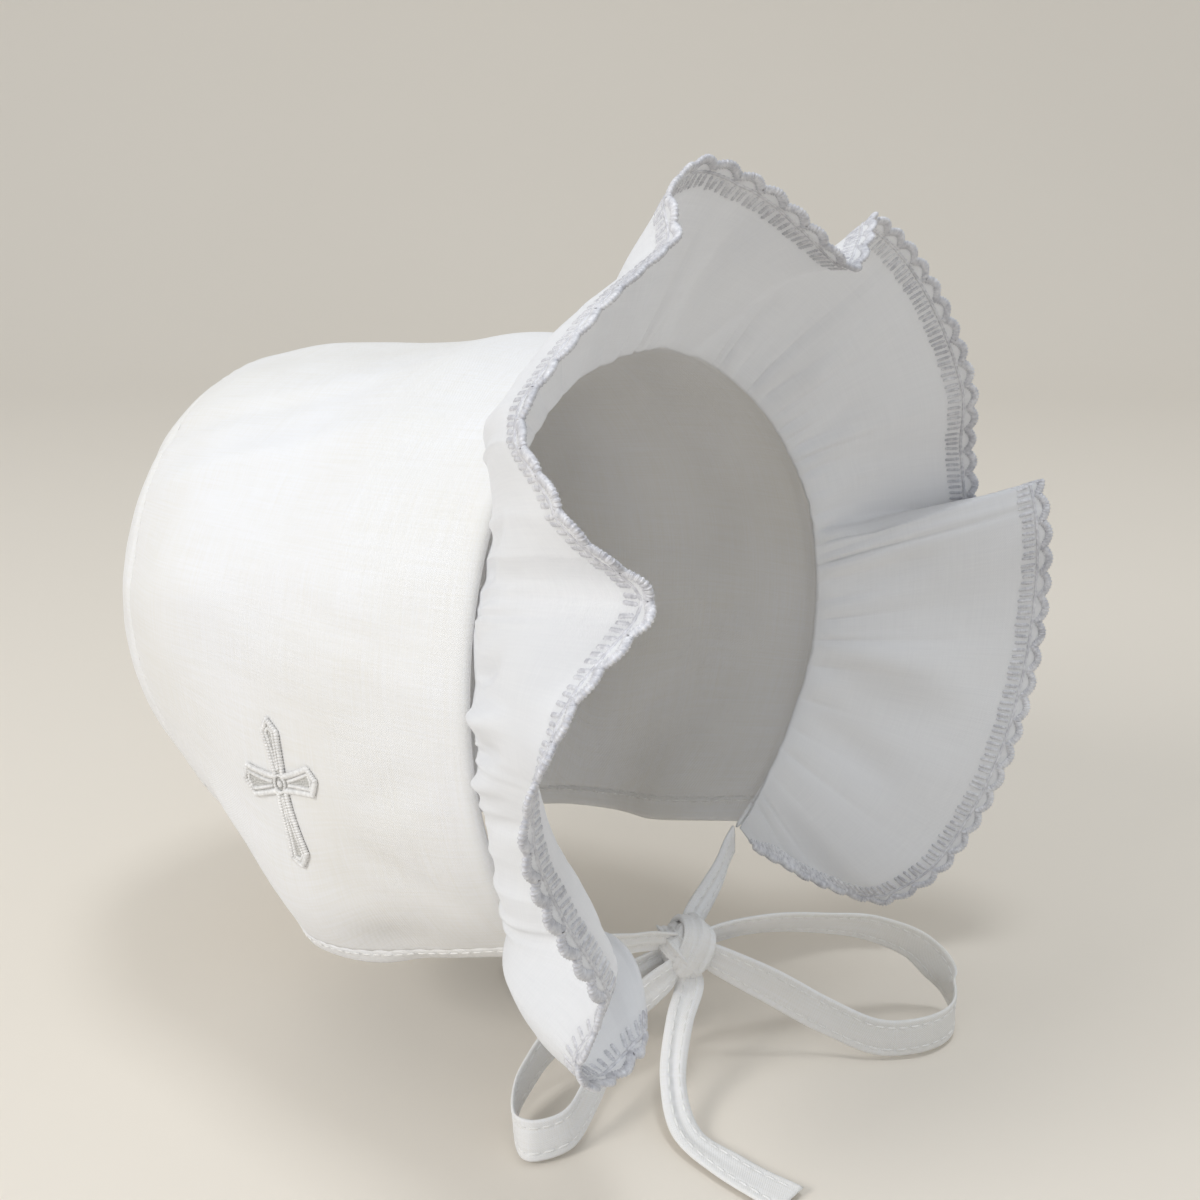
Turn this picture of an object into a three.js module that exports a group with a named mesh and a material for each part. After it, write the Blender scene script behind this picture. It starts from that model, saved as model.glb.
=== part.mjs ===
// A baby's gathered cotton bonnet, worn: crown, neck hem, wide frill with a scalloped embroidered
// border, small embroidered cross, and ties knotted in a bow under the chin.
// Millimetres, +Z up. The face looks along -Y and the wearer's right side is -X.
import * as THREE from "three";

// Face opening: the seam where the frill is gathered on to the crown
const OPENING_HALF_WIDTH = 64;
const OPENING_RISE = 62;
const CORNER_ANGLE = 149.66;
const SEAM_LEAN = 0.055;
const SEAM_SWEEP = 0.112;

// Crown
const CROWN_DEPTH = 139.5;
const CROWN_WALL = 1.2;
const BACK_POLE_DROP = 3.7;
const NECK_DROP = 16.5;
const NECK_LOW_SHARE = 0.553;
const BACK_PANEL_TOP_SHARE = 0.8;
const BACK_PANEL_FOOT_SHARE = 0.47;
const BACK_PANEL_ROUNDNESS = 2.6;
const SEAT_DEPTH_SHARE = 0.3;
const HEM_WIDTH = 4.5;
const HEM_WALL = 1.7;
const HEM_CLEARANCE = 0.5;

// Frill and its embroidered border
const FRILL_WIDTH = 58;
const FRILL_WALL = 1.1;
const BORDER_WIDTH = 9;
const BORDER_WALL = 1.3;
const BORDER_CLEARANCE = 1.3;
const SCALLOP_PITCH = 6.4;
const SCALLOP_DEPTH = 1.5;
const FRILL_SEAM_OFFSET = 1.1;

// Cross
const CROSS_LENGTH = 33.5;
const CROSS_SPAN = 27;
const CROSS_WALL = 1;
const CROSS_DEPTH_SHARE = 0.343;
const CROSS_ANGLE = -103.4;
const CROSS_TURN = 8;
const CROSS_HEART_SHARE = 0.04;
const CROSS_FLARE_SHARE = 0.085;
const CROSS_POINT_SHARE = 0.06;
const CROSSING_ABOVE_MIDDLE_SHARE = 0.09;

// Ties
const TIE_WIDTH = 9;
const TIE_WALL = 1;
const TIE_INSET = 0.4;
const TIE_BELOW_CORNER = 3.2;
const TIE_SAG = 1;
const KNOT_WIDTH = 10.5;
const KNOT_HEIGHT = 13;
const KNOT_FORWARD = 11.5;
const KNOT_DROP = 14.1;
const KNOT_SQUARENESS = 0.75;
const BOW_DROP = 23;
const RIGHT_LOOP_REACH = 66;
const LEFT_LOOP_REACH = 50;
const TAIL_REACH = 48;

// Fit and mesh fineness
const GAP = 0.3;
const CROWN_COLUMNS = 30;
const BAND_ROWS = 10;
const BACK_ROWS = 11;
const BACK_FOOT_ROWS = 5;
const HEM_COLUMNS = 56;
const FRILL_ROWS = 4;
const STEPS_PER_SCALLOP = 2;
const TIE_STEPS = 16;
const KNOT_SIDES = 14;
const KNOT_RINGS = 10;

// Crown sections from the face opening to the back: depth is a share of the crown's depth, width of the
// opening's half width, top and bottom of its rise.
const CROWN_SECTIONS = [
  { depth: 0, width: 1, top: 1, bottom: -1 },
  { depth: 0.2, width: 1.06, top: 0.995, bottom: -1.28 },
  { depth: 0.4, width: 0.97, top: 0.93, bottom: -1.68 },
  { depth: 0.6, width: 0.92, top: 0.905, bottom: -1.1 },
  { depth: 0.75, width: 0.79, top: 0.85, bottom: -0.955 },
  { depth: 0.88, width: 0.6, top: 0.69, bottom: -0.67 },
  { depth: 0.96, width: 0.4, top: 0.345, bottom: -0.39 },
  { depth: 1, width: 0, top: -0.06, bottom: -0.06 },
];

// Waves of the frill from the wearer's right corner over the top to the left corner: along is a share of
// the corner angle, lean is the angle of the strip forward from straight outward, and reach, drift (along
// the seam), swell (outward near the seam) and curl (outward near the edge) are shares of its width.
const FRILL_WAVES = [
  { along: -1, lean: 67, reach: 0.12, drift: 0, swell: 0, curl: 0 },
  { along: -0.975, lean: 69, reach: 0.33, drift: 0.09, swell: -0.04, curl: -0.03 },
  { along: -0.945, lean: 66, reach: 0.56, drift: 0.15, swell: -0.1, curl: -0.07 },
  { along: -0.9, lean: 56, reach: 0.68, drift: 0.21, swell: 0.05, curl: 0.06 },
  { along: -0.85, lean: 52, reach: 0.75, drift: 0.25, swell: 0.12, curl: 0 },
  { along: -0.805, lean: 61, reach: 0.73, drift: 0.26, swell: 0.12, curl: -0.18 },
  { along: -0.715, lean: 54, reach: 0.76, drift: 0.26, swell: 0.06, curl: -0.26 },
  { along: -0.625, lean: 48, reach: 0.87, drift: 0.19, swell: 0.04, curl: -0.12 },
  { along: -0.535, lean: 53, reach: 0.95, drift: 0.05, swell: 0.03, curl: 0 },
  { along: -0.445, lean: 65, reach: 0.95, drift: -0.05, swell: 0.05, curl: 0.02 },
  { along: -0.365, lean: 47, reach: 0.92, drift: -0.23, swell: 0.05, curl: 0.03 },
  { along: -0.28, lean: 37, reach: 0.76, drift: -0.33, swell: 0.07, curl: 0.05 },
  { along: -0.2, lean: 42, reach: 0.74, drift: -0.29, swell: 0.06, curl: 0.05 },
  { along: -0.12, lean: 46, reach: 0.78, drift: -0.21, swell: 0.04, curl: 0.04 },
  { along: -0.085, lean: 37, reach: 0.79, drift: -0.18, swell: 0.02, curl: 0.02 },
  { along: -0.04, lean: 35, reach: 0.8, drift: -0.16, swell: 0, curl: 0.02 },
  { along: 0.015, lean: 42, reach: 0.77, drift: -0.15, swell: 0, curl: 0.02 },
  { along: 0.072, lean: 55, reach: 0.74, drift: -0.13, swell: 0.03, curl: 0.04 },
  { along: 0.133, lean: 65, reach: 0.72, drift: -0.09, swell: 0.06, curl: 0.06 },
  { along: 0.17, lean: 53, reach: 0.75, drift: -0.08, swell: 0.05, curl: 0.05 },
  { along: 0.206, lean: 39, reach: 0.78, drift: -0.06, swell: 0.02, curl: 0.02 },
  { along: 0.27, lean: 38, reach: 0.8, drift: 0.01, swell: 0.02, curl: 0.01 },
  { along: 0.385, lean: 42, reach: 0.77, drift: 0.16, swell: 0.03, curl: 0.03 },
  { along: 0.447, lean: 39, reach: 0.72, drift: 0.19, swell: 0.06, curl: 0.05 },
  { along: 0.515, lean: 36, reach: 0.74, drift: 0.16, swell: 0.06, curl: 0.05 },
  { along: 0.533, lean: 43, reach: 0.86, drift: 0.01, swell: 0.03, curl: 0.03 },
  { along: 0.551, lean: 51, reach: 0.94, drift: -0.14, swell: 0, curl: 0 },
  { along: 0.62, lean: 55, reach: 0.94, drift: -0.18, swell: 0, curl: 0.02 },
  { along: 0.745, lean: 52, reach: 0.94, drift: -0.07, swell: 0.03, curl: 0.02 },
  { along: 0.857, lean: 37, reach: 0.945, drift: 0.09, swell: 0.03, curl: 0.02 },
  { along: 0.905, lean: 26, reach: 0.88, drift: 0.1, swell: 0.02, curl: 0.01 },
  { along: 0.935, lean: 18, reach: 0.63, drift: 0.07, swell: 0.01, curl: 0.01 },
  { along: 0.97, lean: 17, reach: 0.28, drift: 0.04, swell: 0, curl: 0 },
  { along: 1, lean: 20, reach: 0.1, drift: 0, swell: 0, curl: 0 },
];

const radians = THREE.MathUtils.degToRad;

// A smooth curve through one column of a table, level where the column turns, so it never overshoots
function columnCurve(rows, key, column) {
  const at = rows.map((row) => row[key]);
  const value = rows.map((row) => row[column]);
  const slope = at.slice(1).map((next, i) => (value[i + 1] - value[i]) / (next - at[i]));
  const tangent = at.map((_, i) => {
    if (i === 0) return slope[0];
    if (i === at.length - 1) return slope[i - 1];
    const before = slope[i - 1];
    const after = slope[i];
    return before * after <= 0 ? 0 : (2 * before * after) / (before + after);
  });
  return (x) => {
    let i = 0;
    while (i < at.length - 2 && x > at[i + 1]) i += 1;
    const step = at[i + 1] - at[i];
    const t = (x - at[i]) / step;
    const t2 = t * t;
    const t3 = t2 * t;
    return (
      (2 * t3 - 3 * t2 + 1) * value[i] +
      (t3 - 2 * t2 + t) * step * tangent[i] +
      (3 * t2 - 2 * t3) * value[i + 1] +
      (t3 - t2) * step * tangent[i + 1]
    );
  };
}

// The seam of the face opening, by angle from its top, positive towards +X
function seamPoint(angle) {
  const x = OPENING_HALF_WIDTH * Math.sin(radians(angle));
  const z = OPENING_RISE * Math.cos(radians(angle));
  const y = SEAM_LEAN * z - (SEAM_SWEEP * x * x) / OPENING_HALF_WIDTH;
  return new THREE.Vector3(x, y, z);
}

// Depth shares are spread by an angle, so that the sections close in a round back
const roundness = (depth) => Math.acos(THREE.MathUtils.clamp(1 - depth, 0, 1));
const roundedSections = CROWN_SECTIONS.map((row) => ({ ...row, round: roundness(row.depth) }));
const sectionWidth = columnCurve(roundedSections, "round", "width");
const sectionTop = columnCurve(roundedSections, "round", "top");
const sectionBottom = columnCurve(roundedSections, "round", "bottom");

function sectionHeights(depth) {
  const round = roundness(depth);
  return {
    middle: -BACK_POLE_DROP * depth,
    top: OPENING_RISE * sectionTop(round),
    bottom: OPENING_RISE * sectionBottom(round),
  };
}

// A point of the crown's middle surface
function crownPoint(angle, depth) {
  const seam = seamPoint(angle);
  const { middle, top, bottom } = sectionHeights(depth);
  const cosine = Math.cos(radians(angle));
  const half = cosine > 0 ? top - middle : middle - bottom;
  return new THREE.Vector3(
    seam.x * sectionWidth(roundness(depth)),
    CROWN_DEPTH * depth + seam.y * (1 - depth) ** 2,
    middle + half * cosine,
  );
}

// The neck line dips from the front corners to its lowest place and rises a little to the nape
function neckHeight(depth, lift) {
  const corner = OPENING_RISE * Math.cos(radians(CORNER_ANGLE));
  return corner - NECK_DROP * (1 - (1 - depth / NECK_LOW_SHARE) ** 2) + lift;
}

function neckCosine(depth, lift) {
  const { middle, bottom } = sectionHeights(depth);
  return (neckHeight(depth, lift) - middle) / (middle - bottom);
}

const neckAngle = (depth, lift) =>
  THREE.MathUtils.radToDeg(Math.acos(THREE.MathUtils.clamp(neckCosine(depth, lift), -1, 1)));

// The depth share at which the neck line closes at the nape
function napeDepth(lift) {
  let open = 0.3;
  let closed = 0.85;
  for (let i = 0; i < 50; i += 1) {
    const middle = (open + closed) / 2;
    if (neckCosine(middle, lift) > -1) open = middle;
    else closed = middle;
  }
  return closed;
}

// Solids from open sheets: the sheet's triangles, the same reversed a wall away, and a rim between them
function thicken(points, triangles, wall) {
  const normals = points.map(() => new THREE.Vector3());
  const side = new THREE.Vector3();
  const other = new THREE.Vector3();
  for (const [a, b, c] of triangles) {
    side.subVectors(points[b], points[a]);
    other.subVectors(points[c], points[a]);
    side.cross(other);
    for (const corner of [a, b, c]) normals[corner].add(side);
  }
  const positions = [];
  for (const shift of [wall / 2, -wall / 2]) {
    points.forEach((point, i) => {
      const moved = normals[i].clone().normalize().multiplyScalar(shift).add(point);
      positions.push(moved.x, moved.y, moved.z);
    });
  }
  const count = points.length;
  const index = [];
  const open = new Map();
  for (const [a, b, c] of triangles) {
    index.push(a, b, c, a + count, c + count, b + count);
    for (const [from, to] of [[a, b], [b, c], [c, a]]) {
      if (!open.delete(`${to} ${from}`)) open.set(`${from} ${to}`, [from, to]);
    }
  }
  for (const [from, to] of open.values()) {
    index.push(to, from, from + count, to, from + count, to + count);
  }
  const geometry = new THREE.BufferGeometry();
  geometry.setAttribute("position", new THREE.Float32BufferAttribute(positions, 3));
  geometry.setIndex(index);
  geometry.computeVertexNormals();
  return geometry;
}

// A sheet from a grid of points. Rows listed in joined have their two ends in one place, and a last row
// with pole set is a single point.
function gridSheet(rows, columns, point, wall, { joined = () => false, pole = false } = {}) {
  const points = [];
  const at = [];
  for (let j = 0; j <= rows; j += 1) {
    at.push([]);
    for (let i = 0; i <= columns; i += 1) {
      if (pole && j === rows && i > 0) at[j].push(at[j][0]);
      else if (i === columns && joined(j)) at[j].push(at[j][0]);
      else {
        at[j].push(points.length);
        points.push(point(i / columns, j / rows, j));
      }
    }
  }
  const triangles = [];
  const add = (a, b, c) => {
    if (a !== b && b !== c && c !== a) triangles.push([a, b, c]);
  };
  for (let j = 0; j < rows; j += 1) {
    for (let i = 0; i < columns; i += 1) {
      add(at[j][i], at[j][i + 1], at[j + 1][i + 1]);
      add(at[j][i], at[j + 1][i + 1], at[j + 1][i]);
    }
  }
  return thicken(points, triangles, wall);
}

// Crown: a band over the head and a horseshoe panel behind it
const crownLift = HEM_WIDTH + HEM_CLEARANCE;
const crownNape = napeDepth(crownLift);

// The depth share of the seam between band and back panel: an arch from the neck line over the head
function panelEdge(side) {
  const arch = 1 - Math.abs(side) ** BACK_PANEL_ROUNDNESS;
  return BACK_PANEL_FOOT_SHARE + (BACK_PANEL_TOP_SHARE - BACK_PANEL_FOOT_SHARE) * arch;
}

function crownSheetPoint(side, depth) {
  return crownPoint(side * neckAngle(depth, crownLift), depth);
}

function crownBand() {
  return gridSheet(BAND_ROWS, CROWN_COLUMNS, (u, v) => {
    const side = 2 * u - 1;
    return crownSheetPoint(side, v * (panelEdge(side) - GAP / CROWN_DEPTH));
  }, CROWN_WALL);
}

function crownBack() {
  const rowDepth = (j) => {
    if (j <= BACK_FOOT_ROWS) {
      const left = 1 - j / BACK_FOOT_ROWS;
      return crownNape - (crownNape - BACK_PANEL_FOOT_SHARE) * left * left;
    }
    const from = roundness(crownNape);
    const share = (j - BACK_FOOT_ROWS) / (BACK_ROWS - BACK_FOOT_ROWS);
    return 1 - Math.cos(from + (Math.PI / 2 - from) * share);
  };
  return gridSheet(BACK_ROWS, CROWN_COLUMNS, (u, v, j) => {
    const side = 2 * u - 1;
    const edge = panelEdge(side);
    const share = (rowDepth(j) - BACK_PANEL_FOOT_SHARE) / (1 - BACK_PANEL_FOOT_SHARE);
    return crownSheetPoint(side, edge + share * (1 - edge));
  }, CROWN_WALL, { joined: (j) => j >= BACK_FOOT_ROWS, pole: true });
}

function neckHem() {
  return gridSheet(1, HEM_COLUMNS, (u, v) => {
    const lift = HEM_WIDTH * (1 - v);
    const side = 2 * u - 1;
    const depth = napeDepth(lift) * (1 - side * side);
    return crownPoint(Math.sign(side || 1) * neckAngle(depth, lift), depth);
  }, HEM_WALL);
}

// Frill: a strip that stands on the seam and waves in lean, drift, swell and curl
const waveLean = columnCurve(FRILL_WAVES, "along", "lean");
const waveReach = columnCurve(FRILL_WAVES, "along", "reach");
const waveDrift = columnCurve(FRILL_WAVES, "along", "drift");
const waveSwell = columnCurve(FRILL_WAVES, "along", "swell");
const waveCurl = columnCurve(FRILL_WAVES, "along", "curl");
const BULGE_PEAK = 6.75;

function frillPoint(along, across) {
  const angle = along * CORNER_ANGLE;
  const nearby = 0.3;
  const base = seamPoint(angle);
  const tangent = seamPoint(angle + nearby).sub(seamPoint(angle - nearby)).normalize();
  const forward = new THREE.Vector3(0, -1, 0);
  forward.addScaledVector(tangent, -forward.dot(tangent)).normalize();
  const outward = new THREE.Vector3().crossVectors(forward, tangent).normalize();
  const lean = radians(waveLean(along));
  const reach = FRILL_WIDTH * waveReach(along);
  const bulge = waveSwell(along) * (1 - across) + waveCurl(along) * across;
  const swell = FRILL_WIDTH * BULGE_PEAK * bulge * across * (1 - across);
  return base
    .addScaledVector(forward, FRILL_SEAM_OFFSET)
    .addScaledVector(outward, Math.cos(lean) * reach * across + Math.sin(lean) * swell)
    .addScaledVector(forward, Math.sin(lean) * reach * across - Math.cos(lean) * swell)
    .addScaledVector(tangent, FRILL_WIDTH * waveDrift(along) * across);
}

// The border starts a border's width from the edge, or half way where the strip runs out
function borderStart(along) {
  const length = FRILL_WIDTH * Math.hypot(waveReach(along), waveDrift(along));
  return 1 - Math.min(BORDER_WIDTH / length, 0.5);
}

// Lengths along the free edge, so that columns and scallops are spread evenly on it
const edgeSteps = 900;
const edgeLengths = [0];
for (let i = 1; i <= edgeSteps; i += 1) {
  const here = frillPoint((2 * i) / edgeSteps - 1, 1);
  const before = frillPoint((2 * (i - 1)) / edgeSteps - 1, 1);
  edgeLengths.push(edgeLengths[i - 1] + here.distanceTo(before));
}
const edgeLength = edgeLengths[edgeSteps];
const scallops = Math.round(edgeLength / SCALLOP_PITCH);

function alongAtEdge(share) {
  const wanted = share * edgeLength;
  let i = 1;
  while (i < edgeSteps && edgeLengths[i] < wanted) i += 1;
  const part = (wanted - edgeLengths[i - 1]) / (edgeLengths[i] - edgeLengths[i - 1]);
  return (2 * (i - 1 + part)) / edgeSteps - 1;
}

function frill() {
  return gridSheet(FRILL_ROWS, scallops * STEPS_PER_SCALLOP, (u, v) => {
    const along = alongAtEdge(u);
    return frillPoint(along, v * (borderStart(along) - BORDER_CLEARANCE / FRILL_WIDTH));
  }, FRILL_WALL);
}

function border() {
  return gridSheet(1, scallops * STEPS_PER_SCALLOP, (u, v) => {
    const along = alongAtEdge(u);
    const start = borderStart(along);
    const dip = (SCALLOP_DEPTH / FRILL_WIDTH) * (1 - Math.abs(Math.sin(Math.PI * scallops * u)));
    return frillPoint(along, start + v * (1 - dip - start));
  }, BORDER_WALL);
}

// Cross: flared arms with pointed ends, laid on the crown's side
function crossOutline() {
  const half = CROSS_LENGTH / 2;
  const arm = CROSS_SPAN / 2;
  const heart = CROSS_LENGTH * CROSS_HEART_SHARE;
  const flare = CROSS_LENGTH * CROSS_FLARE_SHARE;
  const centre = CROSS_LENGTH * CROSSING_ABOVE_MIDDLE_SHARE;
  const ends = [
    { out: new THREE.Vector2(0, 1), length: half - centre },
    { out: new THREE.Vector2(1, 0), length: arm },
    { out: new THREE.Vector2(0, -1), length: half + centre },
    { out: new THREE.Vector2(-1, 0), length: arm },
  ];
  const points = [];
  for (const { out, length } of ends) {
    const across = new THREE.Vector2(out.y, -out.x);
    const corner = length - CROSS_LENGTH * CROSS_POINT_SHARE;
    const place = (along, aside) =>
      out.clone().multiplyScalar(along).addScaledVector(across, aside).add(new THREE.Vector2(0, centre));
    points.push(place(heart, -heart), place(corner, -flare), place(length, 0), place(corner, flare));
  }
  return points;
}

function crossPlate() {
  const outline = crossOutline();
  const turn = radians(CROSS_TURN);
  const step = 0.01;
  const here = crownPoint(CROSS_ANGLE, CROSS_DEPTH_SHARE);
  const back = crownPoint(CROSS_ANGLE, CROSS_DEPTH_SHARE + step).sub(here);
  const up = crownPoint(CROSS_ANGLE + 1, CROSS_DEPTH_SHARE).sub(here);
  const normal = new THREE.Vector3().crossVectors(back, up).normalize();
  if (normal.x > 0) normal.negate();
  const clear = CROWN_WALL / 2 + GAP + CROSS_WALL / 2;
  const crossing = new THREE.Vector2(0, CROSS_LENGTH * CROSSING_ABOVE_MIDDLE_SHARE);
  const points = [...outline, crossing].map((flat) => {
    const height = flat.y * Math.cos(turn) - flat.x * Math.sin(turn);
    const rear = flat.y * Math.sin(turn) + flat.x * Math.cos(turn);
    const angle = CROSS_ANGLE + height / up.length();
    const depth = CROSS_DEPTH_SHARE + (rear * step) / back.length();
    return crownPoint(angle, depth).addScaledVector(normal, clear);
  });
  const heart = outline.length;
  const triangles = outline.map((_, i) => [heart, i, (i + 1) % outline.length]);
  return thicken(points, triangles, CROSS_WALL);
}

// Ties: flat straps along a smooth line, each place with its own lean of the strap's width
function strap(route) {
  const line = new THREE.CatmullRomCurve3(route.map(({ at }) => at), false, "centripetal");
  const places = route.map((row, i) => ({ ...row, share: i / (route.length - 1) }));
  const leanAt = columnCurve(places, "share", "lean");
  const wideAt = columnCurve(places, "share", "wide");
  return gridSheet(TIE_STEPS, 1, (u, v) => {
    const width = TIE_WIDTH * wideAt(v);
    const along = line.getTangent(v);
    const flat = new THREE.Vector3().crossVectors(along, new THREE.Vector3(0, 0, 1)).normalize();
    const upright = new THREE.Vector3().crossVectors(flat, along).normalize();
    const lean = radians(leanAt(v));
    return line
      .getPoint(v)
      .addScaledVector(upright, Math.cos(lean) * width * (u - 0.5))
      .addScaledVector(flat, Math.sin(lean) * width * (u - 0.5));
  }, TIE_WALL);
}

const cornerDrop = OPENING_RISE * Math.cos(radians(CORNER_ANGLE));
const knotAt = new THREE.Vector3(0, -KNOT_FORWARD, cornerDrop - KNOT_DROP);

// A place measured from the knot: out along a heading, aside to its left, down by a share of the bow's drop
function fromKnot(heading, reach, { out, aside, down }) {
  const ahead = new THREE.Vector3(Math.cos(radians(heading)), Math.sin(radians(heading)), 0);
  const left = new THREE.Vector3(-ahead.y, ahead.x, 0);
  return knotAt
    .clone()
    .addScaledVector(ahead, reach * out)
    .addScaledVector(left, reach * aside)
    .add(new THREE.Vector3(0, 0, -BOW_DROP * down));
}

const routeFromKnot = (heading, reach, rows) =>
  rows.map((row) => ({ ...row, at: fromKnot(heading, reach, row) }));

// Headings turn from +X towards +Y; the right loop is the one towards +X
const RIGHT_LOOP_HEADING = -41;
const RIGHT_LOOP_UPPER = [
  { out: 0.085, aside: 0.02, down: -0.04, lean: 30, wide: 0.6 },
  { out: 0.27, aside: 0.05, down: -0.05, lean: 35, wide: 1 },
  { out: 0.5, aside: 0.08, down: 0.06, lean: 35, wide: 1 },
  { out: 0.72, aside: 0.1, down: 0.24, lean: 30, wide: 1 },
  { out: 0.9, aside: 0.09, down: 0.52, lean: 20, wide: 1 },
  { out: 0.985, aside: 0.04, down: 0.86, lean: 5, wide: 1 },
];
const RIGHT_LOOP_LOWER = [
  { out: 0.087, aside: -0.028, down: 0.12, lean: 10, wide: 0.6 },
  { out: 0.27, aside: -0.06, down: 0.42, lean: 8, wide: 1 },
  { out: 0.47, aside: -0.1, down: 0.78, lean: 5, wide: 1 },
  { out: 0.65, aside: -0.16, down: 0.99, lean: 0, wide: 1 },
  { out: 0.82, aside: -0.17, down: 1, lean: 0, wide: 1 },
  { out: 0.95, aside: -0.09, down: 1, lean: 0, wide: 1 },
  { out: 0.99, aside: 0.015, down: 0.92, lean: 3, wide: 1 },
];
const LEFT_LOOP_HEADING = 178;
const LEFT_LOOP_FRONT = [
  { out: 0.125, aside: 0.01, down: 0.16, lean: 0, wide: 0.6 },
  { out: 0.3, aside: -0.06, down: 0.42, lean: 0, wide: 1 },
  { out: 0.63, aside: -0.01, down: 0.82, lean: 5, wide: 1 },
  { out: 0.85, aside: 0.02, down: 0.98, lean: 8, wide: 1 },
  { out: 0.985, aside: -0.06, down: 1, lean: 8, wide: 1 },
];
const LEFT_LOOP_REAR = [
  { out: 0.108, aside: -0.055, down: 0.1, lean: 0, wide: 0.6 },
  { out: 0.32, aside: -0.2, down: 0.36, lean: 0, wide: 1 },
  { out: 0.58, aside: -0.3, down: 0.72, lean: 0, wide: 1 },
  { out: 0.82, aside: -0.27, down: 0.93, lean: 0, wide: 1 },
  { out: 0.97, aside: -0.15, down: 1, lean: 5, wide: 1 },
];
const RIGHT_TAIL_HEADING = -125;
const RIGHT_TAIL = [
  { out: 0.07, aside: 0, down: 0.31, lean: 80, wide: 0.6 },
  { out: 0.2, aside: -0.1, down: 0.52, lean: 75, wide: 1 },
  { out: 0.38, aside: -0.2, down: 0.87, lean: 78, wide: 1 },
  { out: 0.59, aside: -0.22, down: 1.15, lean: 86, wide: 1 },
  { out: 0.82, aside: -0.13, down: 1.17, lean: 90, wide: 1 },
  { out: 1.06, aside: 0, down: 1.17, lean: 90, wide: 1 },
];
const LEFT_TAIL_HEADING = 80;
const LEFT_TAIL = [
  { out: 0.14, aside: 0.02, down: 0.2, lean: 80, wide: 0.6 },
  { out: 0.21, aside: 0.08, down: 0.62, lean: 80, wide: 1 },
  { out: 0.38, aside: 0.14, down: 1.06, lean: 85, wide: 1 },
  { out: 0.62, aside: 0.15, down: 1.17, lean: 90, wide: 1 },
  { out: 0.9, aside: 0.1, down: 1.17, lean: 90, wide: 1 },
  { out: 1.15, aside: 0.02, down: 1.17, lean: 90, wide: 1 },
];

// Each tie leaves its corner inside the neck hem and comes down to the knot
function cornerTie(side) {
  const corner = seamPoint(side * CORNER_ANGLE);
  const start = corner.clone().add(new THREE.Vector3(-side * TIE_INSET, TIE_INSET, -TIE_BELOW_CORNER));
  const intoKnot = new THREE.Vector3((side * KNOT_WIDTH) / 2, KNOT_WIDTH / 8, KNOT_HEIGHT / 4);
  const inner = knotAt.clone().add(intoKnot);
  const middle = start.clone().lerp(inner, 0.5).add(new THREE.Vector3(0, -TIE_SAG, TIE_SAG));
  return strap([
    { at: start, lean: 0, wide: 1 },
    { at: start.clone().lerp(middle, 0.5), lean: 10, wide: 1 },
    { at: middle, lean: 35, wide: 1 },
    { at: inner, lean: 60, wide: 0.6 },
  ]);
}

// The knot: a turn of strap pulled tight, wider across the middle
function bowKnot() {
  const ball = new THREE.SphereGeometry(1, KNOT_SIDES, KNOT_RINGS);
  const place = ball.attributes.position;
  const soften = (value) => Math.sign(value) * Math.abs(value) ** KNOT_SQUARENESS;
  for (let i = 0; i < place.count; i += 1) {
    const x = soften(place.getX(i)) * (KNOT_WIDTH / 2 - GAP);
    const y = soften(place.getZ(i)) * (KNOT_WIDTH / 2 - GAP);
    const z = soften(-place.getY(i)) * (KNOT_HEIGHT / 2);
    place.setXYZ(i, x + knotAt.x, y + knotAt.y, z + knotAt.z);
  }
  return ball;
}

const white = new THREE.MeshStandardMaterial({ color: 0xf3f1ec, roughness: 0.85, metalness: 0 });
const hemWhite = new THREE.MeshStandardMaterial({ color: 0xefece6, roughness: 0.85, metalness: 0 });
const silver = new THREE.MeshStandardMaterial({ color: 0xc9c8cc, roughness: 0.55, metalness: 0 });
const satin = new THREE.MeshStandardMaterial({ color: 0xd9d8da, roughness: 0.5, metalness: 0 });
const tape = new THREE.MeshStandardMaterial({ color: 0xf0eeea, roughness: 0.8, metalness: 0 });

const bonnet = new THREE.Group();
const pieces = [
  ["crown_band", crownBand(), white],
  ["crown_back", crownBack(), white],
  ["neck_hem", neckHem(), hemWhite],
  ["ruffle", frill(), white],
  ["ruffle_border", border(), silver],
  ["embroidered_cross", crossPlate(), satin],
  ["tie_near", cornerTie(-1), tape],
  ["tie_far", cornerTie(1), tape],
  ["bow_knot", bowKnot(), tape],
  ["bow_loop_right_upper", strap(routeFromKnot(RIGHT_LOOP_HEADING, RIGHT_LOOP_REACH, RIGHT_LOOP_UPPER)), tape],
  ["bow_loop_right_lower", strap(routeFromKnot(RIGHT_LOOP_HEADING, RIGHT_LOOP_REACH, RIGHT_LOOP_LOWER)), tape],
  ["bow_loop_left_front", strap(routeFromKnot(LEFT_LOOP_HEADING, LEFT_LOOP_REACH, LEFT_LOOP_FRONT)), tape],
  ["bow_loop_left_rear", strap(routeFromKnot(LEFT_LOOP_HEADING, LEFT_LOOP_REACH, LEFT_LOOP_REAR)), tape],
  ["tie_tail_right", strap(routeFromKnot(RIGHT_TAIL_HEADING, TAIL_REACH, RIGHT_TAIL)), tape],
  ["tie_tail_left", strap(routeFromKnot(LEFT_TAIL_HEADING, TAIL_REACH, LEFT_TAIL)), tape],
];
for (const [name, geometry, material] of pieces) {
  const piece = new THREE.Mesh(geometry, material);
  piece.name = name;
  bonnet.add(piece);
}

// The origin is where the top of the head meets the inside of the crown
const seat = crownPoint(0, SEAT_DEPTH_SHARE);
bonnet.position.set(0, -seat.y, -(seat.z - CROWN_WALL / 2));

export default bonnet;
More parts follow.
